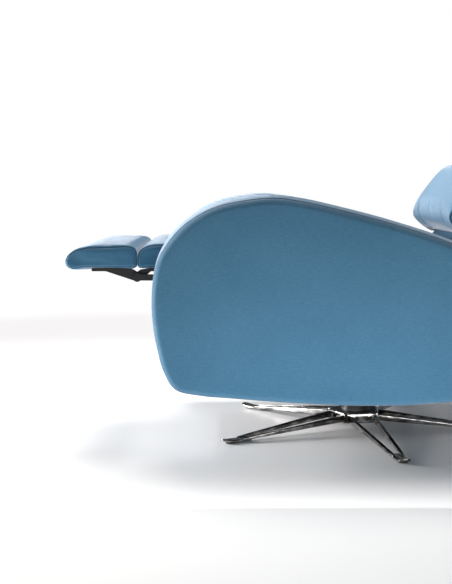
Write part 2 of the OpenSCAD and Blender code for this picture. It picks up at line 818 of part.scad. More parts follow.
// Back
module back_stile(left) {
    color(steel_colour) on_back() side(left) plate(stile_in, stile_t) difference() {
        union() {
            translate([-stile_front, 0]) square([stile_d, stile_top]);
            circle(r = stile_back);
        }
        circle(r = pin_r + run_fit);
    }
}
module back_cross_rails() {
    lug_pin = [lug_set, -lug_reach];
    rail_y = stile_back - back_rail_t;
    rail_top = back_rail_low + back_rail_h;
    color(steel_colour) on_back() {
        for (z = [back_rail_low, stile_top - back_rail_h])
            box(-stile_in, stile_in, rail_y, stile_back, z, z + back_rail_h);
        both_sides() plate(ear_in, ear_t) difference() {
            union() {
                bar_2d(lug_pin, [0, rail_top - cut_over], ear_w);
                translate(lug_pin) circle(r = ear_w / 2);
            }
            translate(lug_pin) circle(r = pin_r);
        }
    }
}
module strut_top_pin() {
    color(chrome_colour) rod_x(strut_to, -ear_in - ear_t, ear_in + ear_t, pin_r);
}
module back_webbing() {
    pitch = (back_strap_to - back_strap_from) / (back_straps - 1);
    color(strap_colour) on_back()
        for (i = [0:back_straps - 1])
            box(-stile_out, stile_out, -cushion_back, -stile_front,
                back_strap_from + i * pitch - strap_w / 2, back_strap_from + i * pitch + strap_w / 2);
}
module back_shell() {
    half = stile_out + shell_t;
    deep = stile_back + shell_d;
    rise = shell_d * shell_rise_share;
    sweep = (half * half + rise * rise) / (2 * rise);
    color(fabric_colour) on_back() translate([0, 0, shell_start]) linear_extrude(back_len - shell_start)
        difference() {
            intersection() {
                translate([-half, -cushion_back]) square([2 * half, cushion_back + deep]);
                translate([0, deep - sweep]) circle(r = sweep, $fn = shell_facets);
            }
            intersection() {
                translate([-half + shell_t, -cushion_back - cut_over])
                    square([2 * stile_out, cushion_back + deep]);
                translate([0, deep - sweep]) circle(r = sweep - shell_t, $fn = shell_facets);
            }
        }
}
module back_pillow(start, run, depth, n) {
    color(fabric_colour) on_back()
        translate([0, -cushion_back, start + run / 2]) rotate([90, 0, 0])
            pillow(back_w, run, depth, back_crown, 16, n);
}
module lumbar_cushion() {
    back_pillow(cushion_start, lumbar_len, back_cushion_t, 10);
}
module back_cushion() {
    back_pillow(cushion_start + lumbar_len + cushion_gap, middle_len, back_cushion_t, 10);
}
module head_cushion() {
    back_pillow(back_len - head_len, head_len, back_cushion_t + head_extra_t, 10);
}

// Strut
module strut_mount() {
    foot_t = 4;
    color(steel_colour) {
        box(-ear_in - ear_t, ear_in + ear_t, -middle_cross_y - ear_w / 2, -middle_cross_y + ear_w / 2,
            cross_top, cross_top + foot_t);
        both_sides() plate(ear_in, ear_t) difference() {
            union() {
                bar_2d([-middle_cross_y, cross_top + foot_t / 2], strut_from, ear_w);
                translate(strut_from) circle(r = ear_w / 2);
            }
            translate(strut_from) circle(r = pin_r);
        }
    }
}
module strut_cylinder() {
    color(steel_colour) difference() {
        union() {
            rod_x(strut_from, -strut_eye_w / 2, strut_eye_w / 2, eye_r);
            on_strut() rotate([0, 90, 0]) cylinder(r = neck_r, h = cylinder_start + neck_r);
            on_strut() translate([cylinder_start, 0, 0]) rotate([0, 90, 0])
                cylinder(r = strut_r, h = cylinder_len);
        }
        rod_x(strut_from, -strut_r - cut_over, strut_r + cut_over, pin_r + run_fit);
        on_strut() translate([rod_start - 2 * cut_over, 0, 0]) rotate([0, 90, 0])
            cylinder(r = rod_r + run_fit, h = cylinder_len);
    }
}
module strut_rod() {
    color(chrome_colour) difference() {
        union() {
            rod_x(strut_to, -strut_eye_w / 2, strut_eye_w / 2, eye_r);
            on_strut() translate([rod_start, 0, 0]) rotate([0, 90, 0])
                cylinder(r = rod_r, h = strut_run - rod_start - eye_r / 2);
        }
        rod_x(strut_to, -strut_eye_w, strut_eye_w, pin_r + strut_play);
    }
}

// Release lever
module lever_bracket() {
    pitch = chassis_rail_w - lever_ear_t;
    color(steel_colour) mirror([1, 0, 0]) difference() {
        union() {
            for (x = [lever_in, lever_in + pitch]) {
                box(x, x + lever_ear_t, lever_y - lever_ear_r, lever_y + lever_ear_r, lever_z, frame_z);
                rod_x([lever_y, lever_z], x, x + lever_ear_t, lever_ear_r);
            }
        }
        rod_x([lever_y, lever_z], lever_in - cut_over, lever_in + chassis_rail_w + cut_over,
            lever_r + run_fit);
    }
}
module release_lever() {
    lever_end = lever_y - lever_len;
    color(chrome_colour) mirror([1, 0, 0]) {
        rod_x([lever_y, lever_z], lever_in - side_gap, lever_out + lever_r, lever_r);
        rod_x([lever_y, lever_z], lever_in - side_gap - pin_head_t, lever_in - side_gap,
            lever_r + pin_head_t);
        box(lever_out - lever_r, lever_out + lever_r, lever_end + grip_len / 2, lever_y,
            lever_z - lever_bar_t / 2, lever_z + lever_bar_t / 2);
    }
}
module lever_grip() {
    lever_end = lever_y - lever_len;
    color(rubber_colour) mirror([1, 0, 0]) difference() {
        union() {
            box(lever_out - grip_w / 2, lever_out + grip_w / 2, lever_end + grip_w / 2, lever_end + grip_len,
                lever_z - grip_t / 2, lever_z + grip_t / 2);
            translate([lever_out, lever_end + grip_w / 2, lever_z - grip_t / 2])
                cylinder(r = grip_w / 2, h = grip_t);
        }
        box(lever_out - lever_r, lever_out + lever_r, lever_end + grip_len / 2, lever_y,
            lever_z - lever_bar_t / 2, lever_z + lever_bar_t / 2);
    }
}

base_hub();
base_leg(1);  // base_leg_1
base_leg(2);  // base_leg_2
base_leg(3);  // base_leg_3
base_leg(4);  // base_leg_4
base_leg(5);  // base_leg_5
foot_glides();
leg_screws();
swivel_post();
thrust_bearing();
swivel_housing();
post_bushes();
turntable_plate();
chassis_rail(true);  // chassis_rail_left
chassis_rail(false);  // chassis_rail_right
cross_rails();
seat_posts();
frame_bolts();
rear_panel();
seat_rails();
seat_webbing();
seat_foam();
seat_cushion();
arm_frame(true);  // arm_frame_left
arm_inner_panel(true);  // arm_inner_panel_left
arm_band(true);  // arm_band_left
arm_outer_pad(true);  // arm_outer_pad_left
arm_frame(false);  // arm_frame_right
arm_inner_panel(false);  // arm_inner_panel_right
arm_band(false);  // arm_band_right
arm_outer_pad(false);  // arm_outer_pad_right
side_plate(true);  // side_plate_left
side_plate(false);  // side_plate_right
pivot_pins();
crank(true);  // crank_left
crank(false);  // crank_right
drive_tube();
drive_link(true);  // drive_link_left
drive_link(false);  // drive_link_right
footrest_bracket(true);  // footrest_bracket_left
footrest_bracket(false);  // footrest_bracket_right
footrest_boards();
footrest_pad();
mid_pad();
back_stile(true);  // back_stile_left
back_stile(false);  // back_stile_right
back_cross_rails();
back_webbing();
back_shell();
lumbar_cushion();
back_cushion();
head_cushion();
strut_mount();
strut_cylinder();
strut_rod();
strut_top_pin();
lever_bracket();
release_lever();
lever_grip();
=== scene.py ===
"""Star base swivel recliner: cloth, seams, polished legs, floor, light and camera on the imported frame."""

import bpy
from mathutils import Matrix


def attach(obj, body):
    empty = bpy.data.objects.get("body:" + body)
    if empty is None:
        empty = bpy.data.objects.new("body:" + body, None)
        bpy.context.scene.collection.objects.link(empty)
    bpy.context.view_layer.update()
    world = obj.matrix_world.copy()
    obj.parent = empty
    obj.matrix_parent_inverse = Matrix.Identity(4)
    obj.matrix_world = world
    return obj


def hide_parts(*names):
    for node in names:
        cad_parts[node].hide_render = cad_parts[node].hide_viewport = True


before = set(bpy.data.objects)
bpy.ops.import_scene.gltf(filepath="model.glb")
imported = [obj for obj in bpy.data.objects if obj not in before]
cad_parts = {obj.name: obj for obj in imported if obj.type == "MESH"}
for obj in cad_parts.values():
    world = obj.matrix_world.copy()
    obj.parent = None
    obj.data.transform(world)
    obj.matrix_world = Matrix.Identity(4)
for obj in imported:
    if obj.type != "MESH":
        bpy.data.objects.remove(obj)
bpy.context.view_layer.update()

import logging
import math
from dataclasses import dataclass, field
from enum import Enum
from typing import Sequence

import bmesh
import bpy
from mathutils import Matrix, Vector, noise
from mathutils.bvhtree import BVHTree
from mathutils.kdtree import KDTree

log = logging.getLogger("recliner")

MM = 0.001
BACK_LEAN = 38.0
BACK_HINGE = (0.0, 215.0, 395.0)
STUFFING_FRAMES = 20
LEGS = range(1, 6)
Point = tuple[float, float]
Point3 = tuple[float, float, float]
Colour = tuple[float, float, float, float]
Shape = bmesh.types.BMesh
Row = list[bmesh.types.BMEdge]
Material = bpy.types.Material
Socket = bpy.types.NodeSocket
Feed = float | Sequence[float] | Socket


class Slot(Enum):
    """The record's material slots."""

    FABRIC = "fabric"
    FOAM = "foam"
    PLYWOOD = "plywood"
    WEBBING = "webbing"
    BLACK_STEEL = "black_steel"
    CHROME = "chrome"
    RUBBER = "rubber"
    NYLON = "nylon"


class Hand(Enum):
    """The sitter's left or right side."""

    LEFT = 1
    RIGHT = -1

    @property
    def word(self) -> str:
        """The side's name as the CAD nodes spell it."""
        return self.name.lower()


def sided(*stems: str) -> tuple[str, ...]:
    """Return the left and right names of CAD nodes that come in pairs."""
    return tuple(f"{stem}_{hand.word}" for stem in stems for hand in Hand)


def add_object(name: str, data: bpy.types.ID) -> bpy.types.Object:
    """Put a mesh, lamp or camera into the scene.

    Args:
        name: The object's name.
        data: What it shows.

    Returns:
        The object.
    """
    made = bpy.data.objects.new(name, data)
    bpy.context.scene.collection.objects.link(made)
    return made


def as_mesh(bm: Shape, name: str) -> bpy.types.Mesh:
    """Close a bmesh and keep it as a mesh.

    Args:
        bm: The shape, which is freed.
        name: The mesh's name.

    Returns:
        The mesh.
    """
    mesh = bpy.data.meshes.new(name)
    bm.to_mesh(mesh)
    bm.free()
    return mesh


def round_edges(bm: Shape, edges: Row, radius: float, facets: int) -> None:
    """Round edges off, with the radius in metres."""
    bmesh.ops.bevel(bm, geom=edges, offset=radius, offset_type="OFFSET", affect="EDGES", segments=facets,
                    profile=0.5, material=-1, clamp_overlap=True)


def grow(bm: Shape, edges: Row) -> tuple[list[bmesh.types.BMVert], Row]:
    """Extrude a row of edges in place.

    Args:
        bm: The shape.
        edges: The row.

    Returns:
        The new row's points and its edges.
    """
    grown = bmesh.ops.extrude_edge_only(bm, edges=edges)["geom"]
    verts = [g for g in grown if isinstance(g, bmesh.types.BMVert)]
    return verts, [g for g in grown if isinstance(g, bmesh.types.BMEdge) and all(v in verts for v in g.verts)]


class Graph:
    """A material under construction: each node is added and fed in one call."""

    def __init__(self, name: str) -> None:
        """Start an empty material.

        Args:
            name: The material's name.
        """
        self.material = bpy.data.materials.new(name)
        self.material.use_nodes = True
        self.tree = self.material.node_tree
        self.tree.nodes.clear()
        coords = self.add("TexCoord")
        self.place = coords.outputs["Object"]
        self.normal = coords.outputs["Normal"]

    def add(self, kind: str, feeds: dict[str | int, Feed] | None = None,
            **settings: object) -> bpy.types.Node:
        """Add one node.

        Args:
            kind: The node's type without its prefix.
            feeds: What goes into its inputs, a value or another node's socket.
            settings: The node's own settings.

        Returns:
            The new node.
        """
        node = self.tree.nodes.new("ShaderNode" + kind)
        for key, value in settings.items():
            setattr(node, key, value)
        for key, value in (feeds or {}).items():
            if isinstance(value, Socket):
                self.tree.links.new(value, node.inputs[key])
            else:
                node.inputs[key].default_value = value
        return node

    def math(self, operation: str, *feeds: Feed) -> Socket:
        """Add a Math node and return its output."""
        return self.add("Math", dict(enumerate(feeds)), operation=operation).outputs[0]

    def split(self, vector: Socket) -> list[Socket]:
        """Return a vector's three parts."""
        return list(self.add("SeparateXYZ", {0: vector}).outputs)

    def grain(self, vector: Feed, stretch: Sequence[float], detail: float = 2.0) -> Socket:
        """Noise that is stretched along the axes.

        Args:
            vector: Where the noise is read.
            stretch: Cells per metre along each axis.
            detail: Octaves of the noise.

        Returns:
            The noise, from 0 to 1.
        """
        scaled = self.add("VectorMath", {0: vector, 1: stretch}, operation="MULTIPLY").outputs[0]
        return self.add("TexNoise", {"Vector": scaled, "Scale": 1.0, "Detail": detail}).outputs["Fac"]

    def between(self, share: Feed, low: float, high: float) -> Socket:
        """Spread a share from 0 to 1 between two values."""
        return self.ramp(share, 0.0, 1.0, low, high)

    def ramp(self, value: Feed, start: float, end: float, low: float = 0.0, high: float = 1.0,
             curve: str = "LINEAR") -> Socket:
        """Turn a value's range into another, held at both ends."""
        return self.add("MapRange", {0: value, 1: start, 2: end, 3: low, 4: high},
                        interpolation_type=curve).outputs[0]

    def blend(self, share: Feed, first: Feed, second: Feed) -> Socket:
        """Mix two colours by a share."""
        return self.add("Mix", {0: share, 6: first, 7: second}, data_type="RGBA").outputs[2]

    def relief(self, height: Socket, depth: float) -> Socket:
        """Turn a height into a bumped normal, with its depth in mm."""
        return self.add("Bump", {"Height": height, "Distance": depth * MM, "Strength": 1.0}).outputs["Normal"]

    def surface(self, feeds: dict[str | int, Feed]) -> Material:
        """Close the material with a Principled shader.

        Args:
            feeds: What goes into the shader.

        Returns:
            The finished material.
        """
        shader = self.add("BsdfPrincipled", feeds)
        self.add("OutputMaterial", {"Surface": shader.outputs[0]})
        return self.material


@dataclass(frozen=True)
class WovenCloth:
    """Plain-woven melange upholstery cloth; painted shade darkens the sewn folds at its seams, with the
    thread's darker colour.
    """

    name: str = "steel_blue_cloth"
    shade: Colour = (0.040, 0.136, 0.232, 1.0)
    light: Colour = (0.064, 0.188, 0.304, 1.0)
    # Painted shade for the sewn folds, mixed with the thread's own darker colour.
    crease_shade: Colour = (0.012, 0.035, 0.065, 1.0)
    thread: float = 1.1
    slub: tuple[float, float] = (2.4, 15.0)

    def make(self) -> Material:
        """Build the cloth: threads and slubs on the three planes, blended by the way a face looks.

        Returns:
            The material.
        """
        g = Graph(self.name)
        x, y, z = g.split(g.place)
        weights = [g.math("POWER", g.math("ABSOLUTE", n), 6.0) for n in g.split(g.normal)]
        total = g.math("ADD", g.math("ADD", weights[0], weights[1]), weights[2])
        turn = math.pi / (self.thread * MM)
        fine, long = 1 / (self.slub[0] * MM), 1 / (self.slub[1] * MM)
        relief: Feed = 0.0
        tone: Feed = 0.0
        for weight, (u, v) in zip(weights, ((y, z), (x, z), (x, y))):
            share = g.math("DIVIDE", weight, total)
            over = g.math("MULTIPLY", g.math("SINE", g.math("MULTIPLY", u, turn)),
                          g.math("SINE", g.math("MULTIPLY", v, turn)))
            flat = g.add("CombineXYZ", {0: u, 1: v}).outputs[0]
            weft = g.grain(flat, (long, fine, 1.0))
            warp = g.grain(flat, (fine, long, 1.0))
            slubs = g.math("ADD", g.math("MULTIPLY", weft, 0.6), g.math("MULTIPLY", warp, 0.4))
            height = g.math("ADD", g.math("MULTIPLY", over, 0.5), slubs)
            relief = g.math("MULTIPLY_ADD", height, share, relief)
            tone = g.math("MULTIPLY_ADD", g.math("MULTIPLY_ADD", over, 0.10, slubs), share, tone)
        mottle = g.grain(g.place, (9.0, 9.0, 9.0), 3.0)
        tone = g.math("MULTIPLY_ADD", g.math("SUBTRACT", mottle, 0.5), 0.35, tone)
        spread = g.ramp(tone, 0.22, 0.78)
        # The seam attribute mixes painted shade, with the thread's darker colour, into the sewn folds.
        seam = g.add("Attribute", attribute_name="seam").outputs["Fac"]
        colour = g.blend(g.math("MULTIPLY", seam, 0.9), g.blend(spread, self.shade, self.light), self.crease_shade)
        return g.surface({
            "Base Color": colour, "Roughness": g.between(spread, 0.95, 0.78), "Specular IOR Level": 0.25,
            "Sheen Weight": 0.8, "Sheen Roughness": 0.42, "Sheen Tint": (0.98, 0.97, 1.0, 1.0),
            "Normal": g.relief(relief, 0.35),
        })


@dataclass(frozen=True)
class PolishedMetal:
    """Polished steel under dark chrome, clouded along its polishing streaks."""

    name: str = "polished_chrome"
    tint: Colour = (0.40, 0.39, 0.38, 1.0)
    smoke: Colour = (0.10, 0.095, 0.09, 1.0)
    roughness: tuple[float, float] = (0.05, 0.20)

    def make(self) -> Material:
        """Build the metal.

        Returns:
            The material.
        """
        g = Graph(self.name)
        swirl = g.grain(g.place, (40.0, 40.0, 120.0), 3.0)
        smear = g.grain(g.place, (14.0, 14.0, 14.0), 2.0)
        wear = g.math("MULTIPLY", swirl, smear)
        streak = g.ramp(g.math("ADD", swirl, smear), 0.85, 1.15)
        return g.surface({
            "Base Color": g.blend(streak, self.tint, self.smoke), "Metallic": 1.0,
            "Roughness": g.ramp(wear, 0.1, 0.45, *self.roughness), "Normal": g.relief(swirl, 0.008),
        })


@dataclass(frozen=True)
class CoatedSteel:
    """Steel under a black powder coat, rubbed a little on its high spots."""

    name: str = "black_powder_coat"
    coat: Colour = (0.012, 0.011, 0.011, 1.0)
    rubbed: Colour = (0.045, 0.042, 0.040, 1.0)

    def make(self) -> Material:
        """Build the coat.

        Returns:
            The material.
        """
        g = Graph(self.name)
        peel = g.grain(g.place, (900.0, 900.0, 900.0), 2.0)
        rub = g.grain(g.place, (26.0, 26.0, 26.0), 5.0)
        high = g.ramp(rub, 0.55, 0.8)
        return g.surface({
            "Base Color": g.blend(high, self.coat, self.rubbed), "Roughness": g.between(rub, 0.34, 0.62),
            "Normal": g.relief(peel, 0.06),
        })


@dataclass(frozen=True)
class GrainedWood:
    """Birch plywood with its long grain and darker flecks."""

    name: str = "birch_plywood"
    early: Colour = (0.44, 0.31, 0.185, 1.0)
    late: Colour = (0.25, 0.155, 0.085, 1.0)

    def make(self) -> Material:
        """Build the wood.

        Returns:
            The material.
        """
        g = Graph(self.name)
        bend = g.grain(g.place, (3.0, 3.0, 3.0), 2.0)
        rings = g.grain(g.add("VectorMath", {0: g.place, 1: (0.0, 0.0, 0.02)}, operation="ADD").outputs[0],
                        (90.0, 6.0, 160.0), 5.0)
        fleck = g.grain(g.place, (300.0, 22.0, 700.0), 3.0)
        mixed = g.math("MULTIPLY_ADD", fleck, 0.35, g.math("MULTIPLY", g.math("ADD", rings, bend), 0.4))
        share = g.ramp(mixed, 0.35, 0.75)
        return g.surface({
            "Base Color": g.blend(share, self.early, self.late), "Roughness": g.between(fleck, 0.5, 0.75),
            "Normal": g.relief(mixed, 0.2),
        })


@dataclass(frozen=True)
class StrapWeb:
    """Elastic strap: ribs along its length with pale marker threads."""

    name: str = "elastic_strap"
    base: Colour = (0.022, 0.022, 0.024, 1.0)
    marker: Colour = (0.12, 0.12, 0.125, 1.0)
    thread: float = 2600.0

    def make(self) -> Material:
        """Build the strap.

        Returns:
            The material.
        """
        g = Graph(self.name)
        x, y, _ = g.split(g.place)
        ribs = g.math("MULTIPLY", *(g.math("SINE", g.math("MULTIPLY", way, self.thread)) for way in (x, y)))
        fuzz = g.grain(g.place, (500.0, 500.0, 500.0), 3.0)
        share = g.math("MULTIPLY", g.math("MULTIPLY_ADD", ribs, 0.4, 0.4), fuzz)
        return g.surface({
            "Base Color": g.blend(share, self.base, self.marker), "Roughness": g.between(fuzz, 0.7, 0.9),
            "Normal": g.relief(ribs, 0.4),
        })


@dataclass(frozen=True)
class Moulded:
    """A moulded or cut material with a fine even grain: rubber, nylon or foam."""

    name: str
    base: Colour
    worn: Colour
    cells: float
    depth: float
    roughness: tuple[float, float]

    def make(self) -> Material:
        """Build the material.

        Returns:
            The material.
        """
        g = Graph(self.name)
        cells = g.grain(g.place, (self.cells,) * 3, 3.0)
        wear = g.grain(g.place, (30.0, 30.0, 30.0), 4.0)
        return g.surface({
            "Base Color": g.blend(g.math("MULTIPLY", wear, cells), self.base, self.worn),
            "Roughness": g.between(cells, *self.roughness), "Normal": g.relief(cells, self.depth),
        })


@dataclass(frozen=True)
class PaleFloor:
    """A pale studio floor with a faint gloss, with painted shade greying it towards the camera and a painted
    glow turning it white far off.
    """

    name: str = "pale_floor"
    # Paler far colour and greyer near colour: painted shade from behind the chair towards the camera.
    far: Colour = (0.92, 0.905, 0.90, 1.0)
    near: Colour = (0.81, 0.795, 0.78, 1.0)

    def make(self) -> Material:
        """Build the floor.

        Returns:
            The material.
        """
        g = Graph(self.name)
        x, _, _ = g.split(g.place)
        cloud = g.grain(g.place, (2.2, 2.2, 2.2), 3.0)
        away = g.add("VectorMath", {0: g.place, 1: (0.5, -0.1, 0.0)}, operation="DISTANCE").outputs["Value"]
        # Far off the floor glows white, a painted light that turns it into the white surround; its own colour
        # goes black there.
        white = g.ramp(away, 1.3, 2.5, curve="SMOOTHSTEP")
        wall = g.ramp(away, 2.8, 3.3, 0.9, 1.0, "SMOOTHSTEP")
        # Painted shade: the colour greys towards the camera's side, with a random cloud of tone.
        depth = g.math("MULTIPLY_ADD", g.math("SUBTRACT", cloud, 0.5), 0.15, g.ramp(x, -0.6, 0.9))
        dust = g.grain(g.place, (120.0, 120.0, 120.0), 3.0)
        return g.surface({
            "Base Color": g.blend(white, g.blend(depth, self.far, self.near), (0.0, 0.0, 0.0, 1.0)),
            "Roughness": g.between(dust, 0.28, 0.40), "Specular IOR Level": 0.35,
            "Emission Color": (1.0, 0.985, 0.985, 1.0), "Emission Strength": g.math("MULTIPLY", white, wall),
            "Normal": g.relief(dust, 0.02),
        })


class Finishes:
    """Every finish of the chair, each made once."""

    def __init__(self) -> None:
        """Make the materials."""
        self.by_slot: dict[Slot, Material] = {
            Slot.FABRIC: WovenCloth().make(),
            Slot.CHROME: PolishedMetal().make(),
            Slot.BLACK_STEEL: CoatedSteel().make(),
            Slot.PLYWOOD: GrainedWood().make(),
            Slot.WEBBING: StrapWeb().make(),
            Slot.RUBBER: Moulded("black_rubber", (0.012, 0.012, 0.012, 1.0), (0.04, 0.04, 0.04, 1.0),
                                 700.0, 0.08, (0.6, 0.85)).make(),
            Slot.NYLON: Moulded("black_nylon", (0.016, 0.016, 0.017, 1.0), (0.05, 0.05, 0.05, 1.0),
                                500.0, 0.03, (0.35, 0.5)).make(),
            Slot.FOAM: Moulded("seat_foam", (0.72, 0.66, 0.44, 1.0), (0.60, 0.54, 0.34, 1.0),
                               420.0, 0.5, (0.85, 0.98)).make(),
        }

    def dress(self, piece: bpy.types.Object, slot: Slot) -> None:
        """Give a piece its one material.

        Args:
            piece: The object that gets it.
            slot: Which finish it is.
        """
        piece.data.materials.clear()
        piece.data.materials.append(self.by_slot[slot])


class Bench:
    """The making of meshes: slabs, merging, placing and naming."""

    def __init__(self, finishes: Finishes) -> None:
        """Keep the finishes at hand.

        Args:
            finishes: The chair's materials.
        """
        self.finishes = finishes

    def piece(self, name: str, shape: Shape | bpy.types.Mesh, body: str, slot: Slot,
              stands_for: Sequence[str] = (), fill: float | None = None,
              sharp: float | None = None) -> bpy.types.Object:
        """Turn a shape into a named piece that rides on a body.

        Args:
            name: The piece's name.
            shape: Its mesh, in metres and in place.
            body: The CAD body that it rides on.
            slot: Its finish.
            stands_for: CAD nodes that it replaces.
            fill: How full it is, for a padded piece; not used.
            sharp: Angle in degrees over which an edge shows sharp.

        Returns:
            The new object.
        """
        mesh = as_mesh(shape, name) if isinstance(shape, Shape) else shape
        mesh.name = name
        mesh.shade_smooth()
        if sharp is not None:
            mesh.set_sharp_from_angle(angle=math.radians(sharp))
        piece = add_object(name, mesh)
        self.finishes.dress(piece, slot)
        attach(piece, body)
        if stands_for:
            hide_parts(*stands_for)
        log.info("%s: %d faces on %s", name, len(mesh.polygons), body)
        return piece

    @staticmethod
    def slab(outline: Sequence[Vector], depth: Vector, edge: float, facets: int = 3) -> Shape:
        """A flat outline given a depth, with rounded edges.

        Args:
            outline: Corners of the outline, in metres.
            depth: Which way and how far it is drawn.
            edge: Radius of the edges, in metres.
            facets: Facets across an edge.

        Returns:
            The closed slab.
        """
        bm = bmesh.new()
        face = bm.faces.new([bm.verts.new(p) for p in outline])
        drawn = bmesh.ops.extrude_face_region(bm, geom=[face], use_keep_orig=True)
        moved = [g for g in drawn["geom"] if isinstance(g, bmesh.types.BMVert)]
        bmesh.ops.translate(bm, verts=moved, vec=depth)
        bmesh.ops.recalc_face_normals(bm, faces=bm.faces)
        if edge > 0:
            rims = [e for e in bm.edges if e.calc_face_angle(0.0) > math.radians(25)]
            round_edges(bm, rims, edge, facets)
        return bm

    @staticmethod
    def merge(into: Shape, part: Shape) -> None:
        """Add one shape to another and free it.

        Args:
            into: The shape that grows.
            part: The shape that is added.
        """
        carrier = as_mesh(part, "carrier")
        into.from_mesh(carrier)
        bpy.data.meshes.remove(carrier)


@dataclass(frozen=True)
class Ring:
    """One ring of a skin round the arm.

    x is the place across the arm from its inner face outwards, inset how far the ring stands inside the
    outline, share how far it has closed towards the middle, and seam how dark the painted shade in its sewn
    fold is. Both lengths are in mm.
    """

    x: float
    inset: float = 0.0
    share: float = 0.0
    seam: float = 0.0


def closed_curve(points: Sequence[Point], steps: int) -> list[Point]:
    """A smooth closed curve through points.

    Args:
        points: The points, in order.
        steps: Places on the curve for each point.

    Returns:
        The places on the curve.
    """
    n = len(points)
    out: list[Point] = []
    for i in range(n):
        a, b, c, d = (Vector(points[(i + k) % n]) for k in (-1, 0, 1, 2))
        for k in range(steps):
            t = k / steps
            bend, twist = 2 * a - 5 * b + 4 * c - d, 3 * b - a - 3 * c + d
            p = (2 * b + (c - a) * t + bend * t * t + twist * t ** 3) / 2
            out.append((p.x, p.y))
    return out


def ripple(run: float, seed: float, wave: float) -> float:
    """Uneven waves along a seam, from -1 to 1, at a run in metres along it."""
    return noise.noise(Vector((run / (wave * MM), seed, 0.3)))


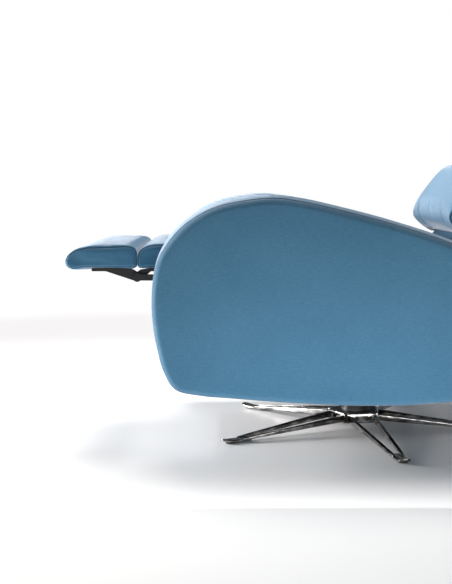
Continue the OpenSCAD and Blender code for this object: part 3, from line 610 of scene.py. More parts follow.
@dataclass
class Arm:
    """One upholstered arm: a padded outer panel, a boxing band and an inner panel, sewn edge to edge."""

    hand: Hand
    inner_x: float = 262.0
    seam_inset: float = 8.6
    seam_share: float = 0.15
    top_slope: Point = (0.05, 0.7)
    middle: Point = (0.5, 0.47)
    face: float = 118.0
    swell: float = 2.2
    waves: float = 0.8
    pucker_rings: int = 3
    pucker_wave: float = 16.0
    steps: int = 9
    shares: tuple[Point, ...] = (
        (0.000, 0.495), (0.008, 0.648), (0.032, 0.762), (0.087, 0.876), (0.173, 0.960), (0.299, 1.000),
        (0.390, 0.987), (0.520, 0.934), (0.650, 0.870), (0.797, 0.780), (0.914, 0.664), (0.984, 0.500),
        (0.998, 0.315), (0.960, 0.142), (0.868, 0.035), (0.720, 0.002), (0.572, -0.006), (0.390, 0.005),
        (0.207, 0.029), (0.129, 0.041), (0.063, 0.070), (0.031, 0.160), (0.017, 0.250), (0.005, 0.362))
    corner: Point = (-478.0, 128.0)
    size: Point = (813.0, 448.0)
    outline: list[Point] = field(default_factory=list)
    inward: list[Point] = field(default_factory=list)
    runs: list[float] = field(default_factory=list)

    def __post_init__(self) -> None:
        """Work out the outline, its inward directions and the run along it."""
        points = [(self.corner[0] + s * self.size[0], self.corner[1] + t * self.size[1])
                  for s, t in self.shares]
        self.outline = closed_curve(points, self.steps)
        n, run = len(self.outline), 0.0
        for i in range(n):
            ahead, behind = Vector(self.outline[(i + 1) % n]), Vector(self.outline[i - 1])
            way = (ahead - behind).normalized()
            self.inward.append((way.y, -way.x))
            self.runs.append(run)
            run += (ahead - Vector(self.outline[i])).length * MM

    def place(self, ring: Ring, i: int) -> Vector:
        """Where a ring's point lies, in metres. The outer seam runs well inside the rim along the top only.

        Args:
            ring: The ring.
            i: Which point of the outline it belongs to.

        Returns:
            The place in the chair's frame.
        """
        (y, z), (dy, dz) = self.outline[i], self.inward[i]
        top = max(0.0, min(1.0, (-dz - self.top_slope[0]) / self.top_slope[1]))
        wide = self.seam_share + (1 - self.seam_share) * top * top * (3 - 2 * top)
        inset = min(ring.inset, self.seam_inset) * wide + max(ring.inset - self.seam_inset, 0.0)
        y, z = y + dy * inset, z + dz * inset
        middle = [self.corner[k] + self.size[k] * self.middle[k] for k in (0, 1)]
        y, z = y + (middle[0] - y) * ring.share, z + (middle[1] - z) * ring.share
        return Vector((self.hand.value * (self.inner_x + ring.x), y, z)) * MM

    def skin(self, rings: Sequence[Ring], hoop: bool, tug: float) -> Shape:
        """Grow a skin ring by ring round the arm.

        Args:
            rings: The rings in order.
            hoop: Whether the last ring meets the first, or both ends are closed by a face.
            tug: How far the stitches pull the cloth beside a seam, in mm.

        Returns:
            The closed skin, with its seam attribute of painted shade along the sewn folds.
        """
        bm = bmesh.new()
        order = bm.verts.layers.int.new("order")
        # The seam layer paints shade into the sewn folds, through the cloth material.
        seam = bm.verts.layers.float.new("seam")
        n = len(self.outline)
        for i in range(n):
            bm.verts.new(self.place(rings[0], i))[order] = i
        bm.verts.ensure_lookup_table()
        first = [bm.edges.new((bm.verts[i], bm.verts[(i + 1) % n])) for i in range(n)]
        for vert in bm.verts:
            vert[seam] = rings[0].seam
        edges = first
        for k, ring in enumerate(rings[1:], 1):
            verts, edges = grow(bm, edges)
            near = max(r.seam for r in rings[max(0, k - self.pucker_rings):k + self.pucker_rings + 1]) * tug
            for vert in verts:
                i = vert[order]
                vert.co = self.place(ring, i)
                vert[seam] = ring.seam
                if near:
                    pull = near * ripple(self.runs[i], 1.0 + self.hand.value, self.pucker_wave) * MM
                    vert.co.x += self.hand.value * pull
        if hoop:
            bmesh.ops.bridge_loops(bm, edges=first + edges)
        else:
            for rim in (first, edges):
                cap = bmesh.ops.contextual_create(bm, geom=rim)["faces"]
                bmesh.ops.poke(bm, faces=cap)
        bmesh.ops.recalc_face_normals(bm, faces=bm.faces)
        return bm

    def soften(self, bm: Shape) -> Shape:
        """Let the outer panel's face rise and fall a little, as cloth over padding does.

        Args:
            bm: The panel.

        Returns:
            The same panel.
        """
        for vert in bm.verts:
            if vert.co.x * self.hand.value > (self.inner_x + self.face - 8) * MM:
                wave = noise.noise(vert.co * 7.0 + Vector((self.hand.value, 0, 0)))
                vert.co.x += self.hand.value * self.waves * MM * wave
        return bm

    def face_ring(self, share: float) -> Ring:
        """Return a ring of the outer panel's face, at a share of the way to its middle."""
        return Ring(self.face + self.swell * (1 - (1 - share) ** 2), 36, share)

    def build(self, bench: Bench) -> None:
        """Make the three sewn forms of the arm.

        Args:
            bench: Where the pieces are made.
        """
        word = self.hand.word
        outer = [Ring(90, 8.6, 0.9), Ring(90, 8.6, 0.4), Ring(90, 8.6), Ring(101, 8.6, seam=0.5),
                 Ring(105, 8.6, seam=1.0), Ring(107.6, 8.6, seam=1.0), Ring(109.2, 9.0, seam=0.5),
                 Ring(111, 10.6, seam=0.05), Ring(113, 12.9), Ring(115, 15.5), Ring(116.5, 17.9),
                 Ring(117.3, 20.6), Ring(117.7, 25)]
        outer += [self.face_ring(share) for share in (0.0, 0.04, 0.1, 0.17, 0.25, 0.34, 0.44, 0.55, 0.66,
                                                      0.77, 0.87, 0.95)]
        bench.piece(f"arm_outer_panel_{word}", self.soften(self.skin(outer, False, 0.5)), "chassis",
                    Slot.FABRIC, (f"arm_outer_pad_{word}",), 0.8)
        half = [Ring(104, 8.6, seam=1.0), Ring(106.6, 8.5, seam=1.0), Ring(107.4, 7.9, seam=0.5),
                Ring(106.2, 6.9, seam=0.05), Ring(103.6, 5.6), Ring(99.5, 4.1), Ring(94, 2.6), Ring(86, 1.2),
                Ring(76, 0.3), Ring(57, 0.0)]
        band = half + [Ring(114 - r.x, r.inset, 0.0, r.seam) for r in reversed(half[:-1])]
        bench.piece(f"arm_boxing_{word}", self.skin(band, True, 0.25), "chassis", Slot.FABRIC,
                    (f"arm_band_{word}",), 0.9)
        inner = [Ring(10, 8.6, 0.9), Ring(10, 8.6, 0.4), Ring(10, 8.6), Ring(6, 8.6, seam=1.0),
                 Ring(4.2, 8.7, seam=0.7), Ring(2.8, 9.5, seam=0.2), Ring(1.4, 11.4), Ring(0.5, 14.5),
                 Ring(0.1, 20), Ring(0.0, 36)]
        inner += [Ring(0.0, 36, s) for s in (0.1, 0.25, 0.45, 0.7, 0.9)]
        bench.piece(f"arm_inner_cover_{word}", self.skin(inner, False, 0.0), "chassis", Slot.FABRIC,
                    (f"arm_inner_panel_{word}",), 0.9)


@dataclass
class Seam:
    """A sewn line on a cushion: its depth and width, and how far puckers tug beside it.

    crease_shade is the width of its dark line of painted shade, fade that of the puckers, wave their length,
    fine how many widths get a closer net, and reach how far it acts. Lengths are in mm, in the cushion's
    frame.
    """

    points: list[Vector]
    closed: bool = True
    depth: float = 2.0
    width: float = 2.2
    tug: float = 0.7
    crease_shade: float = 1.2
    fade: float = 11.0
    wave: float = 15.0
    fine: float = 2.6
    reach: float = 30.0


@dataclass
class SewnCushion:
    """A stuffed cushion: a panel wrapped over its profile, with an end panel sewn in at each side.

    profile is the end panel's outline in y and z of the cushion's own frame, half its half width and face the
    way that its sitting side looks. Its crown is lower towards the front by tilt, its sides are drawn in and
    hollow, and its blank is cut smaller by slack. headroom is how far it may rise over its crown, and hem how
    far its seams lie inside the rim. Lengths are in mm.
    """

    name: str
    body: str
    stands_for: tuple[str, ...]
    profile: list[Point]
    half: float
    crown: float
    face: Vector
    place: Matrix = field(default_factory=Matrix)
    draw: float = 3.0
    hollow: float = 2.0
    tilt: float = 0.0
    slack: float = 3.0
    swell: float = 9.0
    voxel: float = 5.0
    fill: float = 0.7
    headroom: float = 6.0
    hem: float = 1.5
    pressure: float = 4.0
    cross: tuple[Point, ...] = ()
    low: Vector = field(default_factory=Vector)
    high: Vector = field(default_factory=Vector)
    blank: bpy.types.Object | None = None
    start: list[Vector] = field(default_factory=list)

    def __post_init__(self) -> None:
        """Find the box that the cushion has to stay in."""
        self.low = Vector((-self.half, min(p[0] for p in self.profile), min(p[1] for p in self.profile)))
        self.high = Vector((self.half, max(p[0] for p in self.profile), max(p[1] for p in self.profile)))

    def shares(self, p: Vector) -> tuple[float, float, float]:
        """Where a point lies across, along and up the cushion.

        Args:
            p: The point, in mm.

        Returns:
            The place across and along, each from -1 to 1, and up the face's way, from 0 to 1.
        """
        across = p.x / self.half
        up_axis = 2 if abs(self.face.z) > 0.5 else 1
        along_axis = 3 - up_axis
        low, high = self.low, self.high
        along = 2 * (p[along_axis] - low[along_axis]) / (high[along_axis] - low[along_axis]) - 1
        up = (p[up_axis] - low[up_axis]) / (high[up_axis] - low[up_axis])
        if self.face[up_axis] < 0:
            up = 1 - up
        return max(-1.0, min(1.0, across)), max(-1.0, min(1.0, along)), max(0.0, min(1.0, up))

    def crowned(self, p: Vector) -> Vector:
        """Raise a point by the cushion's crown and draw its sides in.

        Args:
            p: The point of the plain blank, in mm.

        Returns:
            The point of the cushion.
        """
        across, along, up = self.shares(p)
        lift = self.crown * (1 - across ** 2) * (1 - along ** 4) * up ** 2 * (1 + self.tilt * (along - 1) / 2)
        pull = self.draw * (1 - along ** 2) * abs(across) ** 3
        sunk = max(0.0, math.sin(math.pi * (up - 0.08) / 0.74))
        dip = self.hollow * sunk * (1 - along ** 6) * abs(across) ** 30
        q = p + self.face * lift
        q.x -= math.copysign(pull + dip, across)
        return q

    def cut(self) -> None:
        """Cut the blank a little small and give it an even net."""
        middle = (self.low + self.high) / 2
        small = [(1 - self.slack / (self.high[k] - self.low[k]) * 2) for k in (1, 2)]
        ring = [Vector((-(self.half - self.slack), middle.y + (y - middle.y) * small[0],
                        middle.z + (z - middle.z) * small[1])) * MM for y, z in closed_curve(self.profile, 4)]
        bm = Bench.slab(ring, Vector((2 * (self.half - self.slack) * MM, 0, 0)), 0.0)
        blank = add_object(self.name + "_blank", as_mesh(bm, self.name + "_blank"))
        net = blank.modifiers.new("net", "REMESH")
        net.mode = "VOXEL"
        net.voxel_size = self.voxel * MM
        blank.data = self.baked(blank)
        blank.modifiers.clear()
        for vert in blank.data.vertices:
            vert.co = self.crowned(vert.co / MM) * MM
        self.start = [vert.co.copy() for vert in blank.data.vertices]
        self.blank = blank

    @staticmethod
    def baked(obj: bpy.types.Object) -> bpy.types.Mesh:
        """Return an object's mesh as its modifiers leave it."""
        bpy.context.view_layer.update()
        return bpy.data.meshes.new_from_object(obj.evaluated_get(bpy.context.evaluated_depsgraph_get()))

    def stuff(self) -> None:
        """Set the blank up to be blown out like stuffed cloth."""
        cloth = self.blank.modifiers.new("stuffing", "CLOTH")
        cloth.settings.use_pressure = True
        cloth.settings.uniform_pressure_force = self.pressure
        cloth.settings.effector_weights.gravity = 0.0
        cloth.point_cache.frame_end = STUFFING_FRAMES

    def take(self) -> None:
        """Keep the blown-out shape, within the cap and the cushion's room."""
        if any(m.type == "CLOTH" for m in self.blank.modifiers):
            mesh = self.baked(self.blank)
            self.blank.modifiers.clear()
            self.blank.data = mesh
        mesh = self.blank.data
        room_low, room_high = self.low.copy(), self.high.copy()
        for k in (1, 2):
            if self.face[k] > 0.5:
                room_high[k] += self.crown + self.headroom
            elif self.face[k] < -0.5:
                room_low[k] -= self.crown + self.headroom
        for vert, start in zip(mesh.vertices, self.start):
            step = vert.co - start
            if step.length > 0:
                reach = self.swell * MM
                step *= reach * math.tanh(step.length / reach) / step.length
            q = (start + step) / MM
            for k in range(3):
                q[k] = max(room_low[k], min(room_high[k], q[k]))
            vert.co = q * MM

    def seams(self) -> list[Seam]:
        """Lay out the sewn lines: one round each end panel, and those across the face.

        Returns:
            The lines.
        """
        ring = [Vector((0, y, z)) for y, z in closed_curve(self.profile, 8)]
        middle = (self.low + self.high) / 2
        lines = []
        for side in (-1, 1):
            points = []
            for p in ring:
                q = p + (Vector((0, middle.y, middle.z)) - p).normalized() * self.hem
                q.x = side * (self.half - self.hem)
                points.append(q)
            lines.append(Seam(points))
        for y, z in self.cross:
            count = 80
            points = [Vector(((2 * i / count - 1) * (self.half - 4), y, z)) + self.face * self.crown
                      for i in range(count + 1)]
            lines.append(Seam(points, closed=False, depth=3.0, width=3.0))
        return lines

    def sew(self, bench: Bench) -> bpy.types.Object:
        """Smooth the shape, carve its seams and make it a piece.

        Args:
            bench: Where the piece is made.

        Returns:
            The cushion.
        """
        bm = bmesh.new()
        bm.from_mesh(self.blank.data)
        for _ in range(3):
            bmesh.ops.smooth_vert(bm, verts=bm.verts, factor=0.5, use_axis_x=True, use_axis_y=True,
                                  use_axis_z=True)
        bm.to_mesh(self.blank.data)
        bm.free()
        rounder = self.blank.modifiers.new("rounder", "SUBSURF")
        rounder.levels = rounder.render_levels = 1
        mesh = self.baked(self.blank)
        bpy.data.objects.remove(self.blank)
        bm = bmesh.new()
        bm.from_mesh(mesh)
        carve(bm, self.seams())
        bm.to_mesh(mesh)
        bm.free()
        mesh.transform(self.place)
        return bench.piece(self.name, mesh, self.body, Slot.FABRIC, self.stands_for, self.fill)


def carve(bm: Shape, seams: Sequence[Seam]) -> None:
    """Press sewn lines into a soft form, with small puckers beside them and painted shade along them.

    Args:
        bm: The form, in metres, in the frame of the seams.
        seams: The lines.
    """
    layer = bm.verts.layers.float.get("seam") or bm.verts.layers.float.new("seam")
    for number, seam in enumerate(seams):
        tree = BVHTree.FromBMesh(bm)
        path = [tree.find_nearest(p * MM)[0] for p in seam.points]
        count = len(path)
        last = count if seam.closed else count - 1
        dense: list[Vector] = []
        for i in range(last):
            a, b = path[i], path[(i + 1) % count]
            cuts = max(1, int((b - a).length / (seam.crease_shade * MM)))
            dense += [a.lerp(b, k / cuts) for k in range(cuts)]
        line = KDTree(len(dense))
        for i, p in enumerate(dense):
            line.insert(p, i)
        line.balance()
        near = seam.fine * seam.width * MM
        close = {v for v in bm.verts if line.find(v.co)[2] < near}
        edges = [e for e in bm.edges if e.verts[0] in close and e.verts[1] in close]
        bmesh.ops.subdivide_edges(bm, edges=edges, cuts=1, use_grid_fill=True)
        bm.normal_update()
        for vert in bm.verts:
            _, index, gap = line.find(vert.co)
            if gap > seam.reach * MM:
                continue
            run = index * seam.crease_shade * MM
            groove = seam.depth * math.exp(-(gap / (seam.width * MM)) ** 2)
            pucker = seam.tug * ripple(run, number + 0.7, seam.wave)
            pucker *= math.exp(-(gap / (seam.fade * MM)) ** 2)
            vert.co -= vert.normal * (groove - pucker) * MM
            # The seam layer takes painted shade along the sewn fold, strongest on the line.
            vert[layer] = max(vert[layer], math.exp(-(gap / (seam.crease_shade * MM)) ** 2))


def back_frame() -> Matrix:
    """Return the frame of the reclined back: its hinge and its lean."""
    return Matrix.Translation(Vector(BACK_HINGE) * MM) @ Matrix.Rotation(math.radians(-BACK_LEAN), 4, "X")


class Cushions:
    """The six stuffed cushions of the chair, blown out together."""

    rear: float = -28.4

    def __init__(self) -> None:
        """Lay out the cushions."""
        up, front = Vector((0, 0, 1)), Vector((0, -1, 0))
        main = [(-655, 407.0), (-669, 406.2), (-678, 410.5), (-682, 419.5), (-680, 430.5), (-671.5, 441.4),
                (-658, 450.0), (-641, 455.6), (-624, 459.0), (-603, 460.6), (-575, 461.0), (-547, 461.2),
                (-531, 460.0), (-521.0, 456), (-516.2, 448), (-515.2, 436), (-515.2, 419), (-515.8, 410.5),
                (-522, 409.4), (-570, 409.6), (-610, 409.6), (-638, 409.0)]
        middle = [(-512.5, 409.6), (-517.2, 411.0), (-518.2, 422), (-517.8, 437), (-513.6, 449), (-504, 458),
                  (-490, 462.6), (-474.7, 464.8), (-455, 465.0), (-436, 463.8), (-424, 459.6), (-416.8, 451),
                  (-414.8, 438), (-415, 422), (-417.5, 413), (-424, 409.8), (-466, 409.6)]
        seat = [(-368, 428.4), (-378, 431.5), (-382.4, 441), (-382.0, 455), (-376, 467), (-362, 475),
                (-335, 479.4), (-280, 480.4), (-180, 480.4), (-80, 480.2), (20, 480), (100, 479.6),
                (146, 477), (168, 470), (179, 459), (180.4, 446), (177, 434), (166, 428.6), (60, 428.2),
                (-80, 428.2), (-220, 428.2)]
        self.all = [
            SewnCushion("footrest_main_pad", "footrest", ("footrest_pad", "footrest_boards"), main, 250.4,
                        1.5, up, swell=3.5, slack=0.5, hollow=4.5, tilt=0.7, draw=2.0, voxel=4.0),
            SewnCushion("footrest_middle_pad", "footrest", ("mid_pad",), middle, 250.4, 2.5, up, swell=3.5,
                        slack=0.5, hollow=4.0, draw=2.0, voxel=4.0),
            SewnCushion("seat_cushion_cover", "chassis", ("seat_cushion",), seat, 254.6, 9.0, up, swell=9.0,
                        voxel=6.0, cross=((-236.0, 480.0),), draw=4.0),
        ]
        for node, start, run, deep in (("lumbar_cushion", 70.2, 185.6, 84.0),
                                       ("back_cushion", 257.2, 222.8, 84.0),
                                       ("head_cushion", 481.4, 208.4, 92.0)):
            self.all.append(SewnCushion(f"{node}_cover", "backrest", (node,), self.bolster(start, run, deep),
                                        249.6, 12.0, front, back_frame(), swell=10.0, slack=1.2))

    def bolster(self, start: float, run: float, deep: float) -> list[Point]:
        """The end panel of a back cushion: flat behind, full and round in front.

        Args:
            start: Its lower edge along the back.
            run: Its length along the back.
            deep: Its depth.

        Returns:
            The outline, in the back's frame.
        """
        front = self.rear - deep
        shares = ((0.0, 0.04), (0.0, 0.5), (0.0, 0.96), (0.03, 0.995), (0.25, 1.0), (0.58, 1.0),
                  (0.80, 0.985), (0.93, 0.93), (0.985, 0.80), (1.0, 0.5), (0.985, 0.20), (0.93, 0.07),
                  (0.80, 0.015), (0.58, 0.0), (0.25, 0.0), (0.03, 0.005))
        return [(self.rear + (front - self.rear) * d, start + run * t) for d, t in shares]

    def build(self, bench: Bench) -> None:
        """Cut, blow out and sew all cushions.

        Args:
            bench: Where the pieces are made.
        """
        for cushion in self.all:
            cushion.cut()
        for cushion in self.all:
            cushion.stuff()
        for step in range(1, STUFFING_FRAMES + 1):
            bpy.context.scene.frame_set(step)
        for cushion in self.all:
            cushion.take()
        bpy.context.scene.frame_set(1)
        for cushion in self.all:
            cushion.sew(bench)


@dataclass
class StarLeg:
    """One leg of the base: two bevelled rails that close on a thin upturned toe.

    levels are a rail's low and high side at the hub and at the toe, foot the toe's underside, blade its
    thickness, tip the length that turns up by lift, and flange the hub plate's two sides. Lengths are in mm.
    """

    number: int
    turn: float = 28.2
    hub: float = 50.0
    plate: float = 6.0
    reach: float = 374.0
    toe: float = 74.0
    rail: float = 8.0
    spread: float = 62.0
    pinch: float = 20.0
    levels: tuple[float, float, float, float] = (26.5, 41.5, 5.5, 11.0)
    foot: float = 3.0
    blade: float = 5.0
    tip: float = 24.0
    lift: float = 5.0
    flange: Point = (22.0, 46.0)

    def rail_bar(self) -> Shape:
        """Make one rail, from the hub's plate to the toe.

        Returns:
            The rail.
        """
        end = self.reach - self.toe * 0.55
        low, high, toe_low, toe_high = self.levels
        start = self.hub + self.plate / 2
        aside, along = (self.spread - self.pinch) / 2, end - self.hub - self.plate
        run, splay = math.hypot(aside, along), math.atan2(aside, along)
        side = [(0, low), (run - 14, toe_low), (run, toe_low + 0.4), (run - 9, toe_high), (0, high)]
        outline = [Vector((x, -self.rail / 2, z)) * MM for x, z in side]
        bar = Bench.slab(outline, Vector((0, self.rail * MM, 0)), 1.6 * MM)
        place = Matrix.Translation(Vector((start, self.spread / 2, 0)) * MM) @ Matrix.Rotation(-splay, 4, "Z")
        bmesh.ops.transform(bar, matrix=place, verts=bar.verts)
        return bar

    def toe_blade(self) -> Shape:
        """Make the thin toe, with its tip rounded and turned up.

        Returns:
            The toe.
        """
        half = (self.pinch + self.rail) / 2
        rows = [(self.reach - self.toe, half), (self.reach - 40, half), (self.reach - 22, half)]
        rows += [(self.reach - half + half * math.sin(math.radians(a)), half * math.cos(math.radians(a)))
                 for a in range(0, 90, 15)]
        rows += [(self.reach, 0)] + [(x, -y) for x, y in reversed(rows)]
        ring = [Vector((x, y, self.foot)) * MM for x, y in rows]
        blade = Bench.slab(ring, Vector((0, 0, self.blade * MM)), 1.4 * MM)
        cuts = [e for e in blade.edges if abs(e.verts[0].co.x - e.verts[1].co.x) > 12 * MM]
        bmesh.ops.subdivide_edges(blade, edges=cuts, cuts=6, use_grid_fill=True)
        for vert in blade.verts:
            over = max(0.0, vert.co.x / MM - (self.reach - self.tip)) / self.tip
            vert.co.z += self.lift * MM * over ** 2
        return blade

    def build(self, bench: Bench) -> None:
        """Make the leg and turn it to its place.

        Args:
            bench: Where the piece is made.
        """
        leg = self.rail_bar()
        other = self.rail_bar()
        bmesh.ops.mirror(other, geom=other.verts[:] + other.edges[:] + other.faces[:], axis="Y",
                         merge_dist=-1.0)
        bmesh.ops.delete(other, geom=[v for v in other.verts if v.co.y > 0], context="VERTS")
        Bench.merge(leg, other)
        Bench.merge(leg, self.toe_blade())
        wide, (low, high) = (self.spread + self.rail) / 2, self.flange
        corners = [Vector((self.hub, y, z)) * MM
                   for y, z in ((-wide, low), (wide, low), (wide, high), (-wide, high))]
        Bench.merge(leg, Bench.slab(corners, Vector((self.plate * MM, 0, 0)), 1.5 * MM))
        turn = Matrix.Rotation(math.radians(self.turn - 90 + (self.number - 1) * 360 / len(LEGS)), 4, "Z")
        bmesh.ops.transform(leg, matrix=turn, verts=leg.verts)
        bmesh.ops.recalc_face_normals(leg, faces=leg.faces)
        bench.piece(f"star_leg_{self.number}", leg, "base", Slot.CHROME, (f"base_leg_{self.number}",),
                    sharp=40)


@dataclass
class BackCover:
    """The cloth-covered shell behind the back cushions: rear, sides and top in one. Lengths are in mm."""

    half: float = 250.0
    front: float = -28.2
    side_rear: float = 24.4
    crown: float = 44.8
    low: float = 20.0
    high: float = 690.0
    wall: float = 7.5
    corner: float = 9.0
    facets: int = 32
    steps: int = 40

    def build(self, bench: Bench) -> None:
        """Make the cover.

        Args:
            bench: Where the piece is made.
        """
        rise = self.crown - self.side_rear
        sweep = (self.half ** 2 + rise ** 2) / (2 * rise)
        arc = [(x, self.crown - sweep + math.sqrt(sweep ** 2 - x ** 2)) for x in
               [self.half * (2 * i / self.facets - 1) for i in range(self.facets + 1)]]
        section = [(-self.half, self.front), (-self.half, 0.0), *arc, (self.half, 0.0),
                   (self.half, self.front)]
        bm = bmesh.new()
        row = [bm.verts.new(Vector((x, y, self.low)) * MM) for x, y in section]
        edges = [bm.edges.new(pair) for pair in zip(row, row[1:])]
        for _ in range(self.steps):
            verts, edges = grow(bm, edges)
            bmesh.ops.translate(bm, verts=verts, vec=Vector((0, 0, (self.high - self.low) / self.steps * MM)))
        top = [v for v in bm.verts if v.co.z > (self.high - 1) * MM]
        rim = [e for e in bm.edges if all(v in top for v in e.verts)]
        ends = (min(top, key=lambda v: (v.co.x, v.co.y)), min(top, key=lambda v: (-v.co.x, v.co.y)))
        bmesh.ops.contextual_create(bm, geom=rim + [bm.edges.new(ends)])
        bmesh.ops.recalc_face_normals(bm, faces=bm.faces)
        rims = [e for e in bm.edges if len(e.link_faces) == 2 and e.calc_face_angle(0.0) > math.radians(40)]
        round_edges(bm, rims, self.corner * MM, 5)
        rear = max(bm.faces, key=lambda f: f.calc_center_median().y)
        if rear.normal.y < 0:
            bmesh.ops.reverse_faces(bm, faces=bm.faces)
        bmesh.ops.triangulate(bm, faces=[f for f in bm.faces if len(f.verts) > 4])
        bmesh.ops.transform(bm, matrix=back_frame(), verts=bm.verts)
        cover = bench.piece("back_shell_cover", bm, "backrest", Slot.FABRIC, ("back_shell",), 0.9)
        wall = cover.modifiers.new("wall", "SOLIDIFY")
        wall.thickness = self.wall * MM
        wall.offset = -1.0


@dataclass(frozen=True)
class SoftBoard:
    """A cloth-covered board with rounded edges: half its width, and its y and z from low to high.

    If it leans, they are in the back's frame. Lengths are in mm.
    """

    name: str
    body: str
    stands_for: tuple[str, ...]
    half: float
    low: Point
    high: Point
    edge: float
    leans: bool = False

    def build(self, bench: Bench) -> None:
        """Make the board.

        Args:
            bench: Where the piece is made.
        """
        bm = bmesh.new()
        bmesh.ops.create_cube(bm, size=1.0)
        low = Vector((-self.half, *self.low))
        size = Vector((self.half, *self.high)) - low
        bmesh.ops.scale(bm, vec=size * MM, verts=bm.verts)
        bmesh.ops.translate(bm, vec=(low + size / 2) * MM, verts=bm.verts)
        round_edges(bm, bm.edges[:], self.edge * MM, 4)
        if self.leans:
            bmesh.ops.transform(bm, matrix=back_frame(), verts=bm.verts)
        bench.piece(self.name, bm, self.body, Slot.FABRIC, self.stands_for, 0.9 if self.stands_for else None)


class Hardware:
    """The CAD nodes that stay in view, each with its finish and, where it is a flat part, softened edges."""

    slots: dict[Slot, tuple[str, ...]] = {
        Slot.BLACK_STEEL: (
            "base_hub", "leg_screws", "swivel_post", "swivel_housing", "turntable_plate", "drive_tube",
            "back_cross_rails", "strut_mount", "strut_cylinder", "lever_bracket",
            *sided("chassis_rail", "side_plate", "crank", "drive_link", "footrest_bracket", "back_stile")),
        Slot.CHROME: ("frame_bolts", "pivot_pins", "strut_rod", "strut_top_pin", "release_lever",
                      *(f"base_leg_{number}" for number in LEGS)),
        Slot.PLYWOOD: ("cross_rails", "seat_posts", "seat_rails", "footrest_boards", *sided("arm_frame")),
        Slot.WEBBING: ("seat_webbing", "back_webbing"),
        Slot.NYLON: ("thrust_bearing", "post_bushes"),
        Slot.RUBBER: ("foot_glides", "lever_grip"),
        Slot.FOAM: ("seat_foam",),
    }
    eased: dict[str, float] = {
        "turntable_plate": 0.8, "chassis_rail_left": 2.5, "chassis_rail_right": 2.5, "cross_rails": 1.5,
        "seat_posts": 1.5, "seat_rails": 1.5, "base_hub": 1.5,
    }

    def build(self, finishes: Finishes) -> None:
        """Dress every CAD node.

        Args:
            finishes: The chair's materials.
        """
        slot_of = {name: slot for slot, names in self.slots.items() for name in names}
        for name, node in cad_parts.items():
            finishes.dress(node, slot_of.get(name, Slot.FABRIC))
        for name, edge in self.eased.items():
            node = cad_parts[name]
            joined = node.modifiers.new("joined", "WELD")
            joined.merge_threshold = 0.00002
            eased = node.modifiers.new("eased", "BEVEL")
            eased.width = edge * MM
            eased.segments = 2
            eased.limit_method = "ANGLE"
            eased.angle_limit = math.radians(40)
        log.info("dressed %d CAD nodes", len(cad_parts))


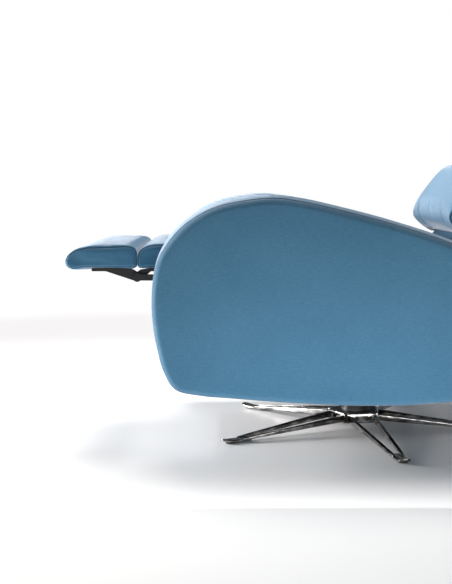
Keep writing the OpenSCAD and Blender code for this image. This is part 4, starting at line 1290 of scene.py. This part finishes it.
@dataclass
class Studio:
    """Floor, soft light and the camera at the photograph's place."""

    eye: Point3 = (2.712, -0.318, 0.590)
    sensor: float = 36.0
    focal_px: float = 1100.0
    long_side_px: float = 584.0
    horizon_px: float = 188.2
    room: float = 0.12
    floor_half: float = 14.0
    lamps: tuple[tuple[str, Point3, Point3, Point, float], ...] = (
        ("overhead_box", (-0.8, -0.35, 2.9), (0.0, -0.1, 0.3), (1.6, 1.6), 104.0),
        ("front_box", (-0.45, -2.5, 0.68), (0.0, -0.3, 0.40), (1.5, 1.2), 165.0),
        ("floor_bounce", (0.74, 0.05, 0.03), (0.24, 0.05, 0.90), (1.1, 0.06), 3.9),
    )

    def camera(self) -> None:
        """Stand the camera beside the chair, level, with its lens shifted down."""
        data = bpy.data.cameras.new("side_camera")
        data.sensor_width = self.sensor
        data.lens = self.sensor * self.focal_px / self.long_side_px
        data.shift_y = (self.horizon_px - self.long_side_px / 2) / self.long_side_px
        data.clip_end = 60.0
        camera = add_object("side_camera", data)
        camera.location = self.eye
        camera.rotation_euler = (math.radians(90), 0.0, math.radians(90))
        bpy.context.scene.camera = camera

    def floor(self) -> None:
        """Lay the floor."""
        bm = bmesh.new()
        bmesh.ops.create_grid(bm, x_segments=8, y_segments=8, size=self.floor_half)
        floor = add_object("studio_floor", as_mesh(bm, "studio_floor"))
        floor.data.materials.append(PaleFloor().make())

    def lamp(self, name: str, place: Point3, aim: Point3, size: Point, watts: float) -> None:
        """Hang one soft lamp, out of the camera's sight.

        Args:
            name: Its name.
            place: Where it hangs.
            aim: What it looks at.
            size: Width and height of its face, in metres.
            watts: Its power.
        """
        data = bpy.data.lights.new(name, "AREA")
        data.shape = "RECTANGLE"
        data.size, data.size_y = size
        data.energy = watts
        lamp = add_object(name, data)
        lamp.location = place
        lamp.visible_camera = False
        lamp.rotation_euler = (Vector(aim) - Vector(place)).to_track_quat("-Z", "Y").to_euler()

    def light(self) -> None:
        """Set the surround, white to the eye and dim as a light, and the lamps."""
        world = bpy.data.worlds.new("white_surround")
        world.use_nodes = True
        tree = world.node_tree
        back = tree.nodes["Background"]
        seen = tree.nodes.new("ShaderNodeLightPath")
        spread = tree.nodes.new("ShaderNodeMapRange")
        spread.inputs["To Min"].default_value = self.room
        tree.links.new(seen.outputs["Is Camera Ray"], spread.inputs["Value"])
        tree.links.new(spread.outputs[0], back.inputs["Strength"])
        back.inputs["Color"].default_value = (1.0, 1.0, 1.0, 1.0)
        bpy.context.scene.world = world
        for lamp in self.lamps:
            self.lamp(*lamp)

    def build(self) -> None:
        """Set the studio up."""
        view = bpy.context.scene.view_settings
        view.view_transform = "Standard"
        view.look = "None"
        self.camera()
        self.floor()
        self.light()


def main() -> None:
    """Build the studio, then the chair's pieces in order."""
    logging.basicConfig(level=logging.INFO, format="%(name)s: %(message)s")
    Studio().build()
    finishes = Finishes()
    bench = Bench(finishes)
    Hardware().build(finishes)
    for hand in Hand:
        Arm(hand).build(bench)
    for number in LEGS:
        StarLeg(number).build(bench)
    BackCover().build(bench)
    for board in (
            SoftBoard("back_platform_cover", "backrest", (), 246.0, (-29.2, 21.0), (-25.2, 689.0), 1.5, True),
            SoftBoard("rear_panel_cover", "chassis", ("rear_panel",), 261.6, (235.6, 134.2), (248.4, 371.4),
                      3.0),
            SoftBoard("seat_platform_cover", "chassis", ("seat_foam",), 223.0, (-381.0, 403.2),
                      (145.0, 427.8), 5.0),
            SoftBoard("seat_rail_wrap", "chassis", (), 223.2, (-381.4, 374.4), (-356.0, 403.1), 1.5),
            SoftBoard("front_rail_wrap", "chassis", (), 261.8, (-361.6, 162.4), (-318.4, 195.6), 3.0)):
        board.build(bench)
    Cushions().build(bench)
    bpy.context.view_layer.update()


if __name__ == "__main__":
    main()
